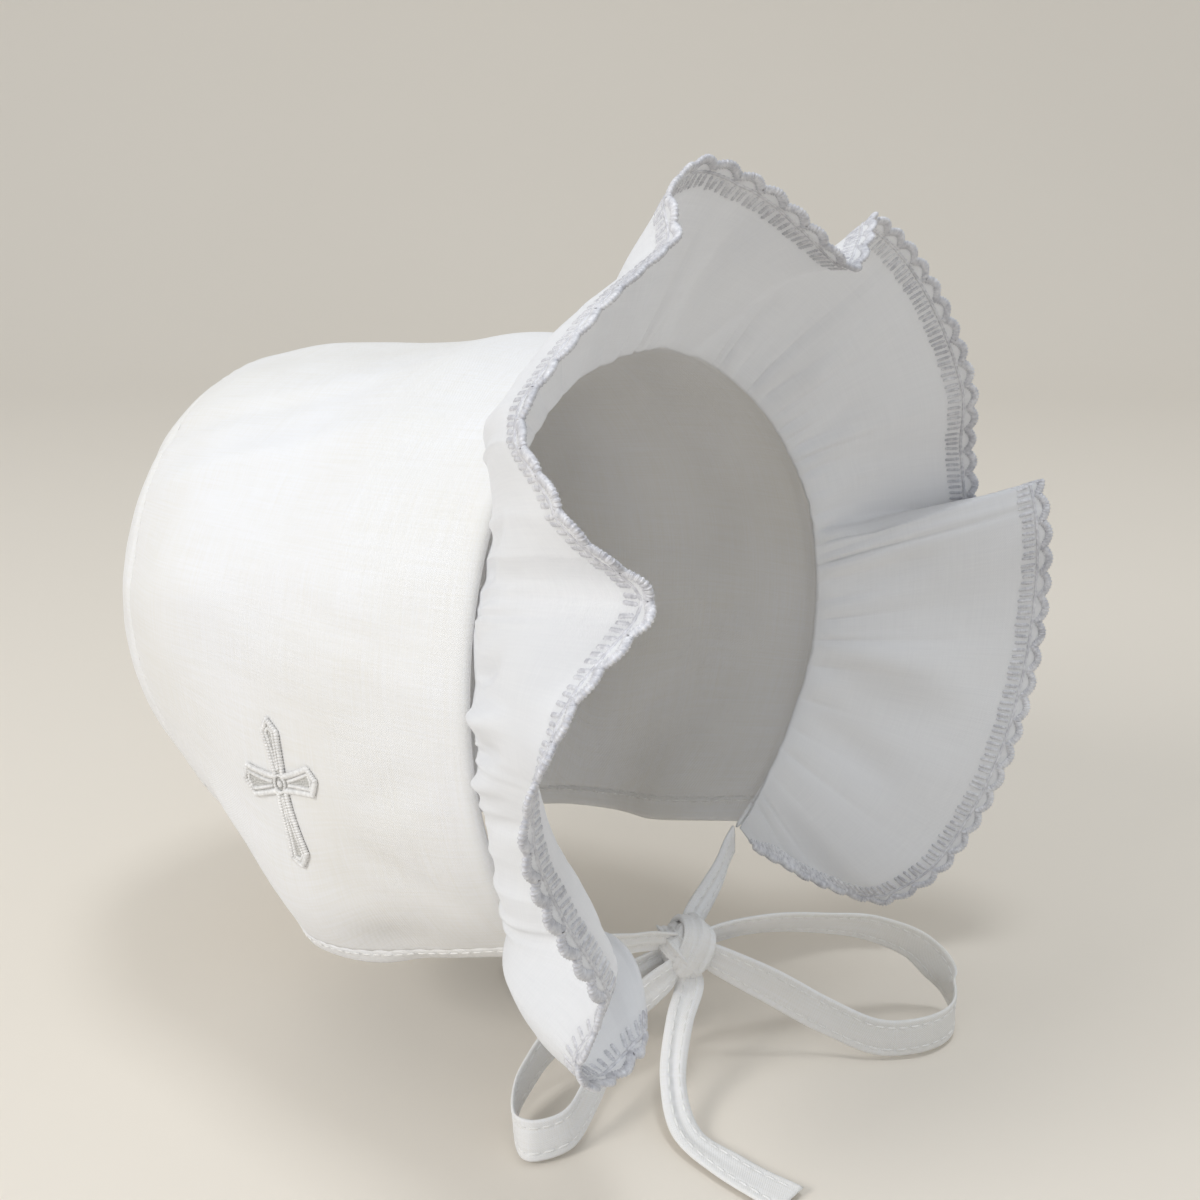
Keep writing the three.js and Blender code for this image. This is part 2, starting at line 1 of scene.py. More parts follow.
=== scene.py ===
"""A baby's gathered cotton bonnet, worn: crown, neck hem, wide ruffle with a scalloped embroidered border,
small embroidered cross, and ties knotted in a bow under the chin.

Shapes are worked out in millimetres from the face opening's centre, with the face looking along -Y and the
wearer's right side at -X, and moved and scaled to the frame as each mesh is made.
"""
import math

import bpy
import numpy as np
from mathutils import Matrix, Vector


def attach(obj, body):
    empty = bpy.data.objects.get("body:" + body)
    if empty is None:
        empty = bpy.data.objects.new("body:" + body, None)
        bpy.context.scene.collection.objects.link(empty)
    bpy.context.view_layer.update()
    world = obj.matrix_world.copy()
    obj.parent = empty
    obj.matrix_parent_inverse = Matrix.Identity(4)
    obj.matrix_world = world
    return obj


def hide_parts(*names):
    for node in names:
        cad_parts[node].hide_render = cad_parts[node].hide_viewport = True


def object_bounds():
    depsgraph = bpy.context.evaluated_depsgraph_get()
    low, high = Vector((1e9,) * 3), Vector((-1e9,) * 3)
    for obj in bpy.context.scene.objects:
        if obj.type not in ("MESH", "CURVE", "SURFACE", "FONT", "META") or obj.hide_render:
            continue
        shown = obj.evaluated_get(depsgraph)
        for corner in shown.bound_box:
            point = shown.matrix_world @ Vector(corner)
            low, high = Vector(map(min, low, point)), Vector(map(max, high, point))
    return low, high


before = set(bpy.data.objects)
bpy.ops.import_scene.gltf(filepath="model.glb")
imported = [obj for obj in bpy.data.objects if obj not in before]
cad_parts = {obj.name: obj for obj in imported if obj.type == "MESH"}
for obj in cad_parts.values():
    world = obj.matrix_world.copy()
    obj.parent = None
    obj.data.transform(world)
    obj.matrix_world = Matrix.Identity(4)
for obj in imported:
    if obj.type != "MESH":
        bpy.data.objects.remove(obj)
cad_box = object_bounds()

# Face opening and crown
OPENING_HALF_WIDTH = 64
OPENING_RISE = 62
CORNER_ANGLE = 149.66
SEAM_LEAN = 0.055
SEAM_SWEEP = 0.112
CROWN_DEPTH = 139.5
CROWN_WALL = 1.2
BACK_POLE_DROP = 3.7
NECK_DROP = 16.5
NECK_LOW_SHARE = 0.553
BACK_PANEL_TOP_SHARE = 0.8
BACK_PANEL_FOOT_SHARE = 0.47
BACK_PANEL_ROUNDNESS = 2.6
SEAT_DEPTH_SHARE = 0.3
HEM_WIDTH = 4.5
CROWN_CLOTH = 0.55
HEM_CLOTH = 1.25

# Ruffle and border
FRILL_WIDTH = 58
FRILL_SEAM_OFFSET = 1.1
BORDER_WIDTH = 9
SCALLOP_PITCH = 6.4
SCALLOP_DEPTH = 1.5
FRILL_CLOTH = 0.4
BULGE_PEAK = 6.75

# Cross
CROSS_LENGTH = 33.5
CROSS_SPAN = 27
CROSS_DEPTH_SHARE = 0.343
CROSS_ANGLE = -103.4
CROSS_TURN = 8
CROSSING_ABOVE_MIDDLE_SHARE = 0.09

# Ties
TIE_WIDTH = 9
TIE_CLOTH = 0.8
TIE_INSET = 0.4
TIE_BELOW_CORNER = 3.2
TIE_SAG = 1
KNOT_WIDTH = 10.5
KNOT_HEIGHT = 13
KNOT_FORWARD = 11.5
KNOT_DROP = 14.1
BOW_DROP = 23
RIGHT_LOOP_REACH = 66
LEFT_LOOP_REACH = 50
TAIL_REACH = 48

SECTION_COLUMNS = ("depth", "width", "top", "bottom")
CROWN_SECTIONS = [
    (0, 1, 1, -1),
    (0.2, 1.06, 0.995, -1.28),
    (0.4, 0.97, 0.93, -1.68),
    (0.6, 0.92, 0.905, -1.1),
    (0.75, 0.79, 0.85, -0.955),
    (0.88, 0.6, 0.69, -0.67),
    (0.96, 0.4, 0.345, -0.39),
    (1, 0, -0.06, -0.06),
]

WAVE_COLUMNS = ("along", "lean", "reach", "drift", "swell", "curl")
FRILL_WAVES = [
    (-1, 67, 0.12, 0, 0, 0),
    (-0.975, 69, 0.33, 0.09, -0.04, -0.03),
    (-0.945, 66, 0.56, 0.15, -0.1, -0.07),
    (-0.9, 56, 0.68, 0.21, 0.05, 0.06),
    (-0.85, 52, 0.75, 0.25, 0.12, 0),
    (-0.805, 61, 0.73, 0.26, 0.12, -0.18),
    (-0.715, 54, 0.76, 0.26, 0.05, -0.16),
    (-0.625, 48, 0.87, 0.19, 0.04, -0.105),
    (-0.535, 53, 0.95, 0.05, 0.03, 0),
    (-0.445, 65, 0.95, -0.05, 0.05, 0.02),
    (-0.365, 47, 0.92, -0.23, 0.05, 0.03),
    (-0.28, 37, 0.76, -0.33, 0.07, 0.05),
    (-0.2, 42, 0.74, -0.29, 0.06, 0.05),
    (-0.12, 46, 0.78, -0.21, 0.04, 0.04),
    (-0.085, 37, 0.79, -0.18, 0.02, 0.02),
    (-0.04, 35, 0.8, -0.16, 0, 0.02),
    (0.015, 42, 0.77, -0.15, 0, 0.02),
    (0.072, 55, 0.74, -0.13, 0.03, 0.04),
    (0.133, 65, 0.72, -0.09, 0.06, 0.06),
    (0.17, 53, 0.75, -0.08, 0.05, 0.05),
    (0.206, 39, 0.78, -0.06, 0.02, 0.02),
    (0.27, 38, 0.8, 0.01, 0.02, 0.01),
    (0.385, 42, 0.77, 0.16, 0.03, 0.03),
    (0.447, 39, 0.72, 0.19, 0.06, 0.05),
    (0.515, 36, 0.74, 0.16, 0.06, 0.05),
    (0.533, 43, 0.86, 0.01, 0.03, 0.03),
    (0.551, 51, 0.94, -0.14, 0, 0),
    (0.62, 55, 0.94, -0.18, 0, 0.02),
    (0.745, 52, 0.94, -0.07, 0.03, 0.02),
    (0.857, 37, 0.945, 0.09, 0.03, 0.02),
    (0.905, 26, 0.88, 0.1, 0.02, 0.01),
    (0.935, 18, 0.63, 0.07, 0.01, 0.01),
    (0.97, 17, 0.28, 0.04, 0, 0),
    (1, 20, 0.1, 0, 0, 0),
]

# Routes of the ties from the knot, as shares: out along the heading, aside to its left, down, with the lean
# of the strap's width in degrees and its width as a share. A loop goes out by one run and back by the other.
RIGHT_LOOP_HEADING = -41
RIGHT_LOOP_UPPER = [
    (0.085, 0.02, -0.04, 30, 0.8),
    (0.27, 0.05, -0.05, 35, 1),
    (0.5, 0.08, 0.06, 35, 1),
    (0.72, 0.1, 0.24, 30, 1),
    (0.9, 0.09, 0.52, 20, 1),
    (0.985, 0.04, 0.86, 5, 1),
]
RIGHT_LOOP_LOWER = [
    (0.087, -0.028, 0.12, 10, 0.82),
    (0.27, -0.06, 0.42, 8, 1),
    (0.47, -0.1, 0.78, 5, 1),
    (0.65, -0.16, 0.99, 0, 1),
    (0.82, -0.17, 1, 0, 1),
    (0.95, -0.09, 1, 0, 1),
]
LEFT_LOOP_HEADING = 178
LEFT_LOOP_FRONT = [
    (0.125, 0.01, 0.16, 0, 0.78),
    (0.3, -0.06, 0.42, 0, 0.95),
    (0.63, -0.01, 0.82, 5, 1),
    (0.85, 0.02, 0.98, 8, 1),
    (0.985, -0.06, 1, 8, 1),
]
LEFT_LOOP_REAR = [
    (0.108, -0.055, 0.1, 0, 0.75),
    (0.32, -0.2, 0.36, 0, 0.95),
    (0.58, -0.3, 0.72, 0, 1),
    (0.82, -0.27, 0.93, 0, 1),
    (0.97, -0.15, 1, 5, 1),
]
RIGHT_TAIL_HEADING = -125
RIGHT_TAIL = [
    (0.07, 0, 0.31, 80, 0.7),
    (0.2, -0.1, 0.52, 75, 0.66),
    (0.38, -0.2, 0.87, 78, 0.64),
    (0.59, -0.22, 1.13, 84, 0.74),
    (0.82, -0.13, 1.17, 88, 0.9),
    (1.1, 0.02, 1.17, 90, 1),
]
LEFT_TAIL_HEADING = 80
LEFT_TAIL = [
    (0.14, 0.02, 0.2, 80, 0.6),
    (0.21, 0.08, 0.62, 80, 1),
    (0.38, 0.14, 1.06, 85, 1),
    (0.62, 0.15, 1.17, 90, 1),
    (0.9, 0.1, 1.17, 90, 1),
    (1.15, 0.02, 1.17, 90, 1),
]


# Curves and vectors

def radians(degrees):
    return np.radians(degrees)


def column_curve(rows, columns, key, column):
    """A smooth curve through one column of a table, level where the column turns, so it never overshoots."""
    at = np.array([row[columns.index(key)] for row in rows], float)
    value = np.array([row[columns.index(column)] for row in rows], float)
    slope = np.diff(value) / np.diff(at)
    tangent = np.zeros_like(value)
    tangent[0] = slope[0]
    tangent[-1] = slope[-1]
    product = slope[:-1] * slope[1:]
    turns = product <= 0
    tangent[1:-1] = np.where(turns, 0, 2 * product / np.where(turns, 1, slope[:-1] + slope[1:]))

    def curve(x):
        x = np.asarray(x, float)
        i = np.clip(np.searchsorted(at, x, side="left") - 1, 0, len(at) - 2)
        step = at[i + 1] - at[i]
        t = (x - at[i]) / step
        t2 = t * t
        t3 = t2 * t
        return (
            (2 * t3 - 3 * t2 + 1) * value[i]
            + (t3 - 2 * t2 + t) * step * tangent[i]
            + (3 * t2 - 2 * t3) * value[i + 1]
            + (t3 - t2) * step * tangent[i + 1]
        )

    return curve


def unit(vectors):
    length = np.linalg.norm(vectors, axis=-1, keepdims=True)
    return vectors / np.maximum(length, 1e-9)


def smooth_step(low, high, x):
    t = np.clip((np.asarray(x, float) - low) / (high - low), 0, 1)
    return t * t * (3 - 2 * t)


def run_lengths(points):
    return np.concatenate([[0], np.cumsum(np.linalg.norm(np.diff(points, axis=0), axis=-1))])


def ripples(points, seed, longest, shortest, count=9):
    """A soft uneven relief between about -1 and 1, the same at the same place."""
    rng = np.random.default_rng(seed)
    total = np.zeros(points.shape[:-1])
    for _ in range(count):
        direction = unit(rng.normal(size=3))
        length = rng.uniform(shortest, longest)
        phase = rng.uniform(0, 2 * math.pi)
        total += np.cos(points @ direction * (2 * math.pi / length) + phase)
    return total / math.sqrt(2 * count)


def pressed_folds(here, folds, scale, share_from, share_over):
    """Relief of folds, each a ridge between two flat places that fades to its sides and its ends."""
    relief = np.zeros(here.shape[:-1])
    for from_a, from_b, to_a, to_b, half_width, height in folds:
        start = np.array([from_a, from_b]) * scale
        run = np.array([to_a, to_b]) * scale - start
        share = np.clip(((here - start) @ run) / (run @ run), 0, 1)
        away = np.linalg.norm(here - start - share[..., None] * run, axis=-1)
        fade = np.sin(math.pi * (share_from + share_over * share))
        relief += height * np.exp(-((away / half_width) ** 2)) * fade
    return relief


# Crown surface

def seam_point(angle):
    """The seam of the face opening, by angle from its top, positive towards +X."""
    x = OPENING_HALF_WIDTH * np.sin(radians(angle))
    z = OPENING_RISE * np.cos(radians(angle))
    y = SEAM_LEAN * z - SEAM_SWEEP * x * x / OPENING_HALF_WIDTH
    return np.stack([x, y, z], axis=-1)


def roundness(depth):
    return np.arccos(np.clip(1 - np.asarray(depth, float), 0, 1))


ROUND_COLUMNS = ("round",) + SECTION_COLUMNS
ROUNDED = [(float(roundness(row[0])),) + row for row in CROWN_SECTIONS]
section = {name: column_curve(ROUNDED, ROUND_COLUMNS, "round", name) for name in SECTION_COLUMNS[1:]}

# The cloth is pressed round past this depth share, where its table alone would end in a point
POLE_FROM = 0.97


def section_heights(depth):
    turned = roundness(depth)
    middle = -BACK_POLE_DROP * np.asarray(depth, float)
    return middle, OPENING_RISE * section["top"](turned), OPENING_RISE * section["bottom"](turned)


def crown_point(angle, depth):
    """A point of the crown's middle surface."""
    angle, depth = np.broadcast_arrays(np.asarray(angle, float), np.asarray(depth, float))
    seam = seam_point(angle)
    middle, top, bottom = section_heights(depth)
    cosine = np.cos(radians(angle))
    half = np.where(cosine > 0, top - middle, middle - bottom)
    x = seam[..., 0] * section["width"](roundness(depth))
    past = np.clip(depth - POLE_FROM, 0, None)
    y = CROWN_DEPTH * (depth - past * past / (2 - 2 * POLE_FROM)) + seam[..., 1] * (1 - depth) ** 2
    return np.stack([x, y, middle + half * cosine], axis=-1)


def neck_cosine(depth, lift):
    corner = OPENING_RISE * math.cos(radians(CORNER_ANGLE))
    height = corner - NECK_DROP * (1 - (1 - depth / NECK_LOW_SHARE) ** 2) + lift
    middle, _, bottom = section_heights(depth)
    return (height - middle) / (middle - bottom)


def neck_angle(depth, lift):
    return np.degrees(np.arccos(np.clip(neck_cosine(depth, lift), -1, 1)))


def nape_depth(lift):
    low, high = 0.3, 0.85
    for _ in range(50):
        middle = (low + high) / 2
        if neck_cosine(middle, lift) > -1:
            low = middle
        else:
            high = middle
    return high


# Folds pressed into the crown, each: angle and depth share it runs from, angle and depth share it runs to,
# half width and height
CROWN_FOLDS = [
    (-34, 0.2, -58, 0.78, 4.5, 1.1),
    (-24, 0.34, -46, 0.86, 3.5, -0.9),
    (-68, 0.3, -84, 0.8, 7, 0.9),
    (-78, 0.08, -70, 0.34, 4, -0.6),
    (-128, 0.1, -112, 0.62, 6, 1.1),
    (-122, 0.06, -108, 0.26, 3.5, -0.8),
    (-136, 0.3, -126, 0.58, 4.5, -0.9),
    (-96, 0.04, -104, 0.2, 4, -0.8),
    (-140, 0.12, -132, 0.42, 4, 0.8),
    (36, 0.2, 58, 0.76, 5, 1.1),
    (84, 0.12, 96, 0.72, 7, 0.9),
    (126, 0.14, 112, 0.6, 6, 1.1),
    (8, 0.3, -6, 0.8, 7, 0.8),
]
MM_PER_DEGREE = 1.1


def crown_relief(angle, depth, points):
    """How far the cloth stands off the plain crown: soft unevenness and folds. The pull of its seams is not
    part of it; the panels pass that to crown_place as a height.
    """
    relief = 0.7 * ripples(points, 11, 75, 34)
    relief += 0.2 * ripples(points, 12, 24, 12)
    scale = np.array([MM_PER_DEGREE, CROWN_DEPTH])
    here = np.stack([angle, depth], axis=-1) * scale
    folds = pressed_folds(here, CROWN_FOLDS, scale, 0.12, 0.76)
    relief += folds * (1 - smooth_step(0.8, 0.95, depth))
    return relief * smooth_step(0, 9, depth * CROWN_DEPTH)


def surface_normals(point, a, b, step_a, step_b):
    across = point(a + step_a, b) - point(a - step_a, b)
    along = point(a, b + step_b) - point(a, b - step_b)
    return unit(np.cross(across, along))


def crown_place(angle, depth, height=0.0):
    """Points at a height over the crown's cloth, and its outward normals there."""
    angle, depth = np.broadcast_arrays(np.asarray(angle, float), np.asarray(depth, float))
    steady = np.clip(depth, 0.004, 0.99)
    normals = surface_normals(crown_point, angle, steady, 0.4, 0.003)
    points = crown_point(angle, depth)
    outward = np.sign(np.sum(normals * (points - np.array([0, 40.0, 0])), axis=-1, keepdims=True))
    normals = normals * np.where(outward == 0, 1, outward)
    pole = smooth_step(0.96, 0.995, depth)[..., None]
    normals = unit(normals * (1 - pole) + np.array([0, 1.0, 0]) * pole)
    rise = crown_relief(angle, depth, points) + height
    return points + normals * rise[..., None], normals


# Ruffle surface

wave = {name: column_curve(FRILL_WAVES, WAVE_COLUMNS, "along", name) for name in WAVE_COLUMNS[1:]}


def frill_point(along, across):
    """A point of the ruffle's plain surface, which stands on the seam and leans, drifts, swells and curls."""
    along, across = np.broadcast_arrays(np.asarray(along, float), np.asarray(across, float))
    angle = along * CORNER_ANGLE
    base = seam_point(angle)
    tangent = unit(seam_point(angle + 0.3) - seam_point(angle - 0.3))
    forward = np.zeros_like(base)
    forward[..., 1] = -1
    forward = unit(forward - np.sum(forward * tangent, axis=-1, keepdims=True) * tangent)
    outward = unit(np.cross(forward, tangent))
    lean = radians(wave["lean"](along))
    reach = FRILL_WIDTH * wave["reach"](along)
    bulge = wave["swell"](along) * (1 - across) + wave["curl"](along) * across
    swell = FRILL_WIDTH * BULGE_PEAK * bulge * across * (1 - across)
    swell = np.where(across < 0, 0, swell)
    out = np.cos(lean) * reach * across + np.sin(lean) * swell
    ahead = FRILL_SEAM_OFFSET + np.sin(lean) * reach * across - np.cos(lean) * swell
    drift = FRILL_WIDTH * wave["drift"](along) * across
    return base + forward * ahead[..., None] + outward * out[..., None] + tangent * drift[..., None]


def strip_length(along):
    return FRILL_WIDTH * np.hypot(wave["reach"](along), wave["drift"](along))


EDGE_STEPS = 2400
edge_at = np.linspace(-1, 1, EDGE_STEPS + 1)
edge_lengths = run_lengths(frill_point(edge_at, 1.0))
edge_length = float(edge_lengths[-1])
scallops = round(edge_length / SCALLOP_PITCH)


def along_at_edge(share):
    return np.interp(np.asarray(share) * edge_length, edge_lengths, edge_at)


def edge_dip(share):
    """How far the scalloped edge lies inside the ruffle's outline, in millimetres."""
    return SCALLOP_DEPTH * (1 - np.abs(np.sin(math.pi * scallops * np.asarray(share))))


SEAM_STEPS = 600
seam_at = np.linspace(-1, 1, SEAM_STEPS + 1)
seam_lengths = run_lengths(seam_point(seam_at * CORNER_ANGLE))


def make_gathers():
    """Places, heights and reaches of the small pleats along the seam, as columns over the seam's length."""
    rng = np.random.default_rng(5)
    places = [0.0]
    while places[-1] < seam_lengths[-1]:
        places.append(places[-1] + rng.choice((rng.uniform(2.2, 4.2), rng.uniform(4.5, 9.5))))
    count = len(places)
    heights = rng.uniform(0.3, 2.6, count)
    reaches = np.where(rng.random(count) < 0.42, rng.uniform(15, 32, count), rng.uniform(4, 10, count))
    return np.array(places), heights, reaches


GATHER_PLACES, GATHER_HEIGHTS, GATHER_REACHES = make_gathers()

# Broad folds of the ruffle, each: place along it and millimetres from the seam it runs from, the same it runs
# to, half width and height
MM_PER_ALONG = 260
FRILL_FOLDS = [
    (-0.06, 1, -0.03, 34, 5, 1.6),
    (0.06, 1, 0.03, 38, 5, -2.2),
    (0.11, 1, 0.14, 26, 4, 1.6),
    (0.31, 1, 0.27, 30, 5, 1.8),
    (0.39, 1, 0.36, 22, 3.5, -1.6),
    (0.47, 1, 0.45, 28, 4, 1.5),
    (0.62, 1, 0.6, 30, 5, -1.8),
    (0.7, 1, 0.74, 42, 6, 2.2),
    (0.8, 1, 0.83, 34, 5, -1.8),
    (-0.42, 1, -0.36, 26, 3.5, 1.8),
    (-0.48, 1, -0.44, 18, 3, -1.6),
    (-0.53, 2, -0.5, 20, 3, 2),
    (-0.57, 2, -0.545, 30, 3.4, -2),
    (-0.605, 2, -0.585, 24, 3, 2.2),
    (-0.64, 2, -0.625, 20, 2.8, -1.2),
    (-0.69, 2, -0.67, 26, 3.6, 1.1),
    (-0.3, 1, -0.27, 24, 4, -1.4),
]


def frill_relief(along, across, points):
    """Gathers that start at the seam and fade out, and a soft unevenness of the cloth."""
    seam = np.interp(along, seam_at, seam_lengths)
    into = np.maximum(np.asarray(across) * strip_length(along), 0)
    phase = np.interp(seam, GATHER_PLACES, np.arange(len(GATHER_PLACES)))
    height = np.interp(seam, GATHER_PLACES, GATHER_HEIGHTS)
    reach = np.interp(seam, GATHER_PLACES, GATHER_REACHES)
    start = smooth_step(-1.5, 3.0, into)
    pleats = np.abs(np.cos(math.pi * phase)) ** 0.8 - 0.55
    gathers = height * start * np.exp(-into / reach) * pleats
    soft = 0.3 * ripples(points, 21, 46, 20) * smooth_step(4, 20, into)
    fanned = np.stack([1.9 * seam, 0.25 * into, 0 * into], axis=-1)
    faded = 1 - 0.7 * smooth_step(20, 46, into)
    folds = 0.9 * ripples(fanned, 22, 48, 20) * smooth_step(2, 14, into) * faded
    scale = np.array([MM_PER_ALONG, 1])
    broad = pressed_folds(np.stack([along, into], axis=-1) * scale, FRILL_FOLDS, scale, 0.1, 0.85)
    return gathers + soft + folds + broad


def frill_place(along, across, height=0.0):
    """Points at a height over the ruffle's cloth, and its outer normals there."""
    along, across = np.broadcast_arrays(np.asarray(along, float), np.asarray(across, float))
    inside = np.clip(along, -0.9985, 0.9985)
    normals = surface_normals(frill_point, inside, np.clip(across, 0.01, 1), 0.0012, 0.01)
    points = frill_point(along, across)
    rise = frill_relief(along, across, points) + height
    return points + normals * rise[..., None], normals


def grid_at(values, column, step):
    """Values between the places of a grid, by its first axis and its second."""
    i = np.clip(column.astype(int), 0, values.shape[0] - 2)
    j = np.clip(step.astype(int), 0, values.shape[1] - 2)
    a = (column - i)[:, None]
    b = (step - j)[:, None]
    near = values[i, j] * (1 - a) + values[i + 1, j] * a
    far = values[i, j + 1] * (1 - a) + values[i + 1, j + 1] * a
    return near * (1 - b) + far * b


INSET_COLUMNS = 800
INSET_STEPS = 56
INSET_LIMIT = 14


def make_inset_table():
    """Where across the ruffle each length inside its edge lies, by place along the edge."""
    along = along_at_edge(np.linspace(0, 1, INSET_COLUMNS + 1))
    across = 1 - 0.85 * np.linspace(0, 1, 121)
    points = frill_point(along[:, None], across[None])
    steps = np.linalg.norm(np.diff(points, axis=1), axis=-1)
    runs = np.concatenate([np.zeros((len(along), 1)), np.cumsum(steps, axis=1)], axis=1)
    insets = np.linspace(0, INSET_LIMIT, INSET_STEPS + 1)
    return np.array([np.interp(insets, run, across) for run in runs])[..., None]


INSET_TABLE = make_inset_table()


def inside_edge(share, inset):
    """Where on the ruffle a line lies that follows its edge, a length inside it."""
    share, inset = np.broadcast_arrays(np.asarray(share, float), np.asarray(inset, float))
    along = along_at_edge(share)
    room = np.clip(strip_length(along) / (2.2 * BORDER_WIDTH), 0.2, 1)
    across = grid_at(INSET_TABLE, share * INSET_COLUMNS, inset * room * INSET_STEPS / INSET_LIMIT)
    return along, across[..., 0]


# Meshes

seat = crown_point(0, SEAT_DEPTH_SHARE)
ORIGIN = np.array([0, seat[1], seat[2] - CROWN_WALL / 2])
MM = 0.001


def add_object(name, data):
    made = bpy.data.objects.new(name, data)
    bpy.context.collection.objects.link(made)
    return made


def grid_faces(rows, columns, offset=0, flip=False):
    """Quads of a grid of vertices laid out row by row."""
    at = np.arange(rows * columns).reshape(rows, columns) + offset
    quads = np.stack([at[:-1, :-1], at[:-1, 1:], at[1:, 1:], at[1:, :-1]], axis=-1).reshape(-1, 4)
    return quads[:, ::-1] if flip else quads


def make_mesh(name, shapes):
    """One object from several shapes: vertices in millimetres, faces, and a flat place for each vertex."""
    vertices, faces, flats = [], [], []
    count = 0
    for points, quads, flat in shapes:
        vertices.append(points)
        flats.append(flat)
        faces.append(np.asarray(quads) + count)
        count += len(points)
    vertices = (np.concatenate(vertices) - ORIGIN) * MM
    flats = np.concatenate(flats)
    faces = np.concatenate(faces)
    mesh = bpy.data.meshes.new(name)
    mesh.vertices.add(len(vertices))
    mesh.vertices.foreach_set("co", vertices.astype(np.float32).ravel())
    mesh.loops.add(faces.size)
    mesh.loops.foreach_set("vertex_index", faces.astype(np.int32).ravel())
    mesh.polygons.add(len(faces))
    mesh.polygons.foreach_set("loop_start", np.arange(0, faces.size, 4, dtype=np.int32))
    mesh.polygons.foreach_set("use_smooth", np.ones(len(faces), bool))
    mesh.update(calc_edges=True)
    layer = mesh.uv_layers.new(name="cloth")
    layer.data.foreach_set("uv", flats[faces.ravel()].astype(np.float32).ravel())
    mesh.validate()
    return add_object(name, mesh)


def shell(points, normals, flat, wall):
    """A sheet with a thickness: two skins and the rim between them."""
    rows, columns = points.shape[:2]
    half = np.asarray(wall) / 2
    if half.ndim:
        half = half[..., None]
    outer = (points + normals * half).reshape(-1, 3)
    inner = (points - normals * half).reshape(-1, 3)
    count = rows * columns
    at = np.arange(count).reshape(rows, columns)
    rim = np.concatenate([at[0, :-1], at[:-1, -1], at[-1, :0:-1], at[:0:-1, 0]])
    after = np.roll(rim, -1)
    edges = np.stack([after, rim, rim + count, after + count], axis=-1)
    faces = np.concatenate([grid_faces(rows, columns), grid_faces(rows, columns, count, True), edges])
    both = np.concatenate([flat.reshape(-1, 2)] * 2)
    return np.concatenate([outer, inner]), faces, both


def tube(points, normals, half_wide, half_high, sides=8):
    """A round or flat cord along a line that lies on a surface, with half sizes that may vary along it."""
    along = unit(np.gradient(points, axis=0))
    beside = unit(np.cross(along, normals))
    over = unit(np.cross(beside, along))
    turn = np.linspace(0, 2 * math.pi, sides, endpoint=False)
    count = len(points)
    wide = np.broadcast_to(half_wide, (count,))[:, None, None]
    high = np.broadcast_to(half_high, (count,))[:, None, None]
    ring = (
        points[:, None]
        + beside[:, None] * wide * np.cos(turn)[None, :, None]
        + over[:, None] * high * np.sin(turn)[None, :, None]
    )
    length = run_lengths(points)[:, None]
    flat = np.stack(np.broadcast_arrays(length, turn[None] * 0.3), axis=-1).reshape(-1, 2)
    at = np.arange(count * sides).reshape(count, sides)
    after = np.roll(at, -1, axis=1)
    faces = np.stack([at[:-1], after[:-1], after[1:], at[1:]], axis=-1).reshape(-1, 4)
    caps = []
    for ring_at, turned in ((at[0], True), (at[-1], False)):
        for i in range(1, sides - 2, 2):
            quad = [ring_at[0], ring_at[i], ring_at[i + 1], ring_at[i + 2]]
            caps.append(quad[::-1] if turned else quad)
    return ring.reshape(-1, 3), np.concatenate([faces, np.array(caps)]), flat


def stitched(length, pitch, depth):
    """How thick a satin-stitched cord is along its length: one ridge for each thread laid across it."""
    return 1 - depth * (0.5 + 0.5 * np.cos(2 * math.pi * length / pitch))


def rounded_end(count, ends=0.35):
    """Shares that round off both ends of a short stitch."""
    t = np.linspace(0, 1, count)
    near_end = np.minimum(t, 1 - t) / ends
    return np.sqrt(np.clip(1 - (1 - np.clip(near_end, 0, 1)) ** 2, 0.04, 1))


def stitch(points, normals, half_wide, half_high):
    swell = rounded_end(len(points))
    return tube(points, normals, half_wide * swell, half_high * swell, sides=6)


def finish_piece(piece, material, slot_name, *nodes):
    piece.data.materials.append(material)
    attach(piece, "root")
    if nodes:
        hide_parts(*nodes)


# Materials

def new_material(name):
    material = bpy.data.materials.new(name)
    material.use_nodes = True
    tree = material.node_tree
    return material, tree, tree.nodes["Principled BSDF"]


def node(tree, kind, **values):
    made = tree.nodes.new(kind)
    for key, value in values.items():
        setattr(made, key, value)
    return made


def math_node(tree, operation, first, second=None):
    made = node(tree, "ShaderNodeMath", operation=operation)
    for socket, value in zip(made.inputs, (first, second)):
        if value is None:
            continue
        if isinstance(value, (int, float)):
            socket.default_value = value
        else:
            tree.links.new(value, socket)
    return made.outputs[0]


def noise(tree, vector, scale, detail=3.0):
    made = node(tree, "ShaderNodeTexNoise")
    made.inputs["Scale"].default_value = scale
    made.inputs["Detail"].default_value = detail
    made.inputs["Roughness"].default_value = 0.5
    tree.links.new(vector, made.inputs["Vector"])
    return made.outputs["Fac"]


def ramp(tree, factor, stops):
    made = node(tree, "ShaderNodeValToRGB")
    elements = made.color_ramp.elements
    for element, (place, colour) in zip(elements, stops):
        element.position = place
        element.color = (*colour, 1)
    tree.links.new(factor, made.inputs["Fac"])
    return made.outputs["Color"]


def cloth_places(tree):
    """A place on the flat cloth in millimetres, whole and by axis."""
    flat = node(tree, "ShaderNodeUVMap", uv_map="cloth").outputs["UV"]
    parts = node(tree, "ShaderNodeSeparateXYZ")
    tree.links.new(flat, parts.inputs[0])
    return flat, parts.outputs


def weighted(tree, first, first_share, second, second_share):
    scaled = math_node(tree, "MULTIPLY", first, first_share)
    return math_node(tree, "ADD", scaled, math_node(tree, "MULTIPLY", second, second_share))


def waves(tree, place, pitch):
    return math_node(tree, "SINE", math_node(tree, "MULTIPLY", place, 2 * math.pi / pitch))


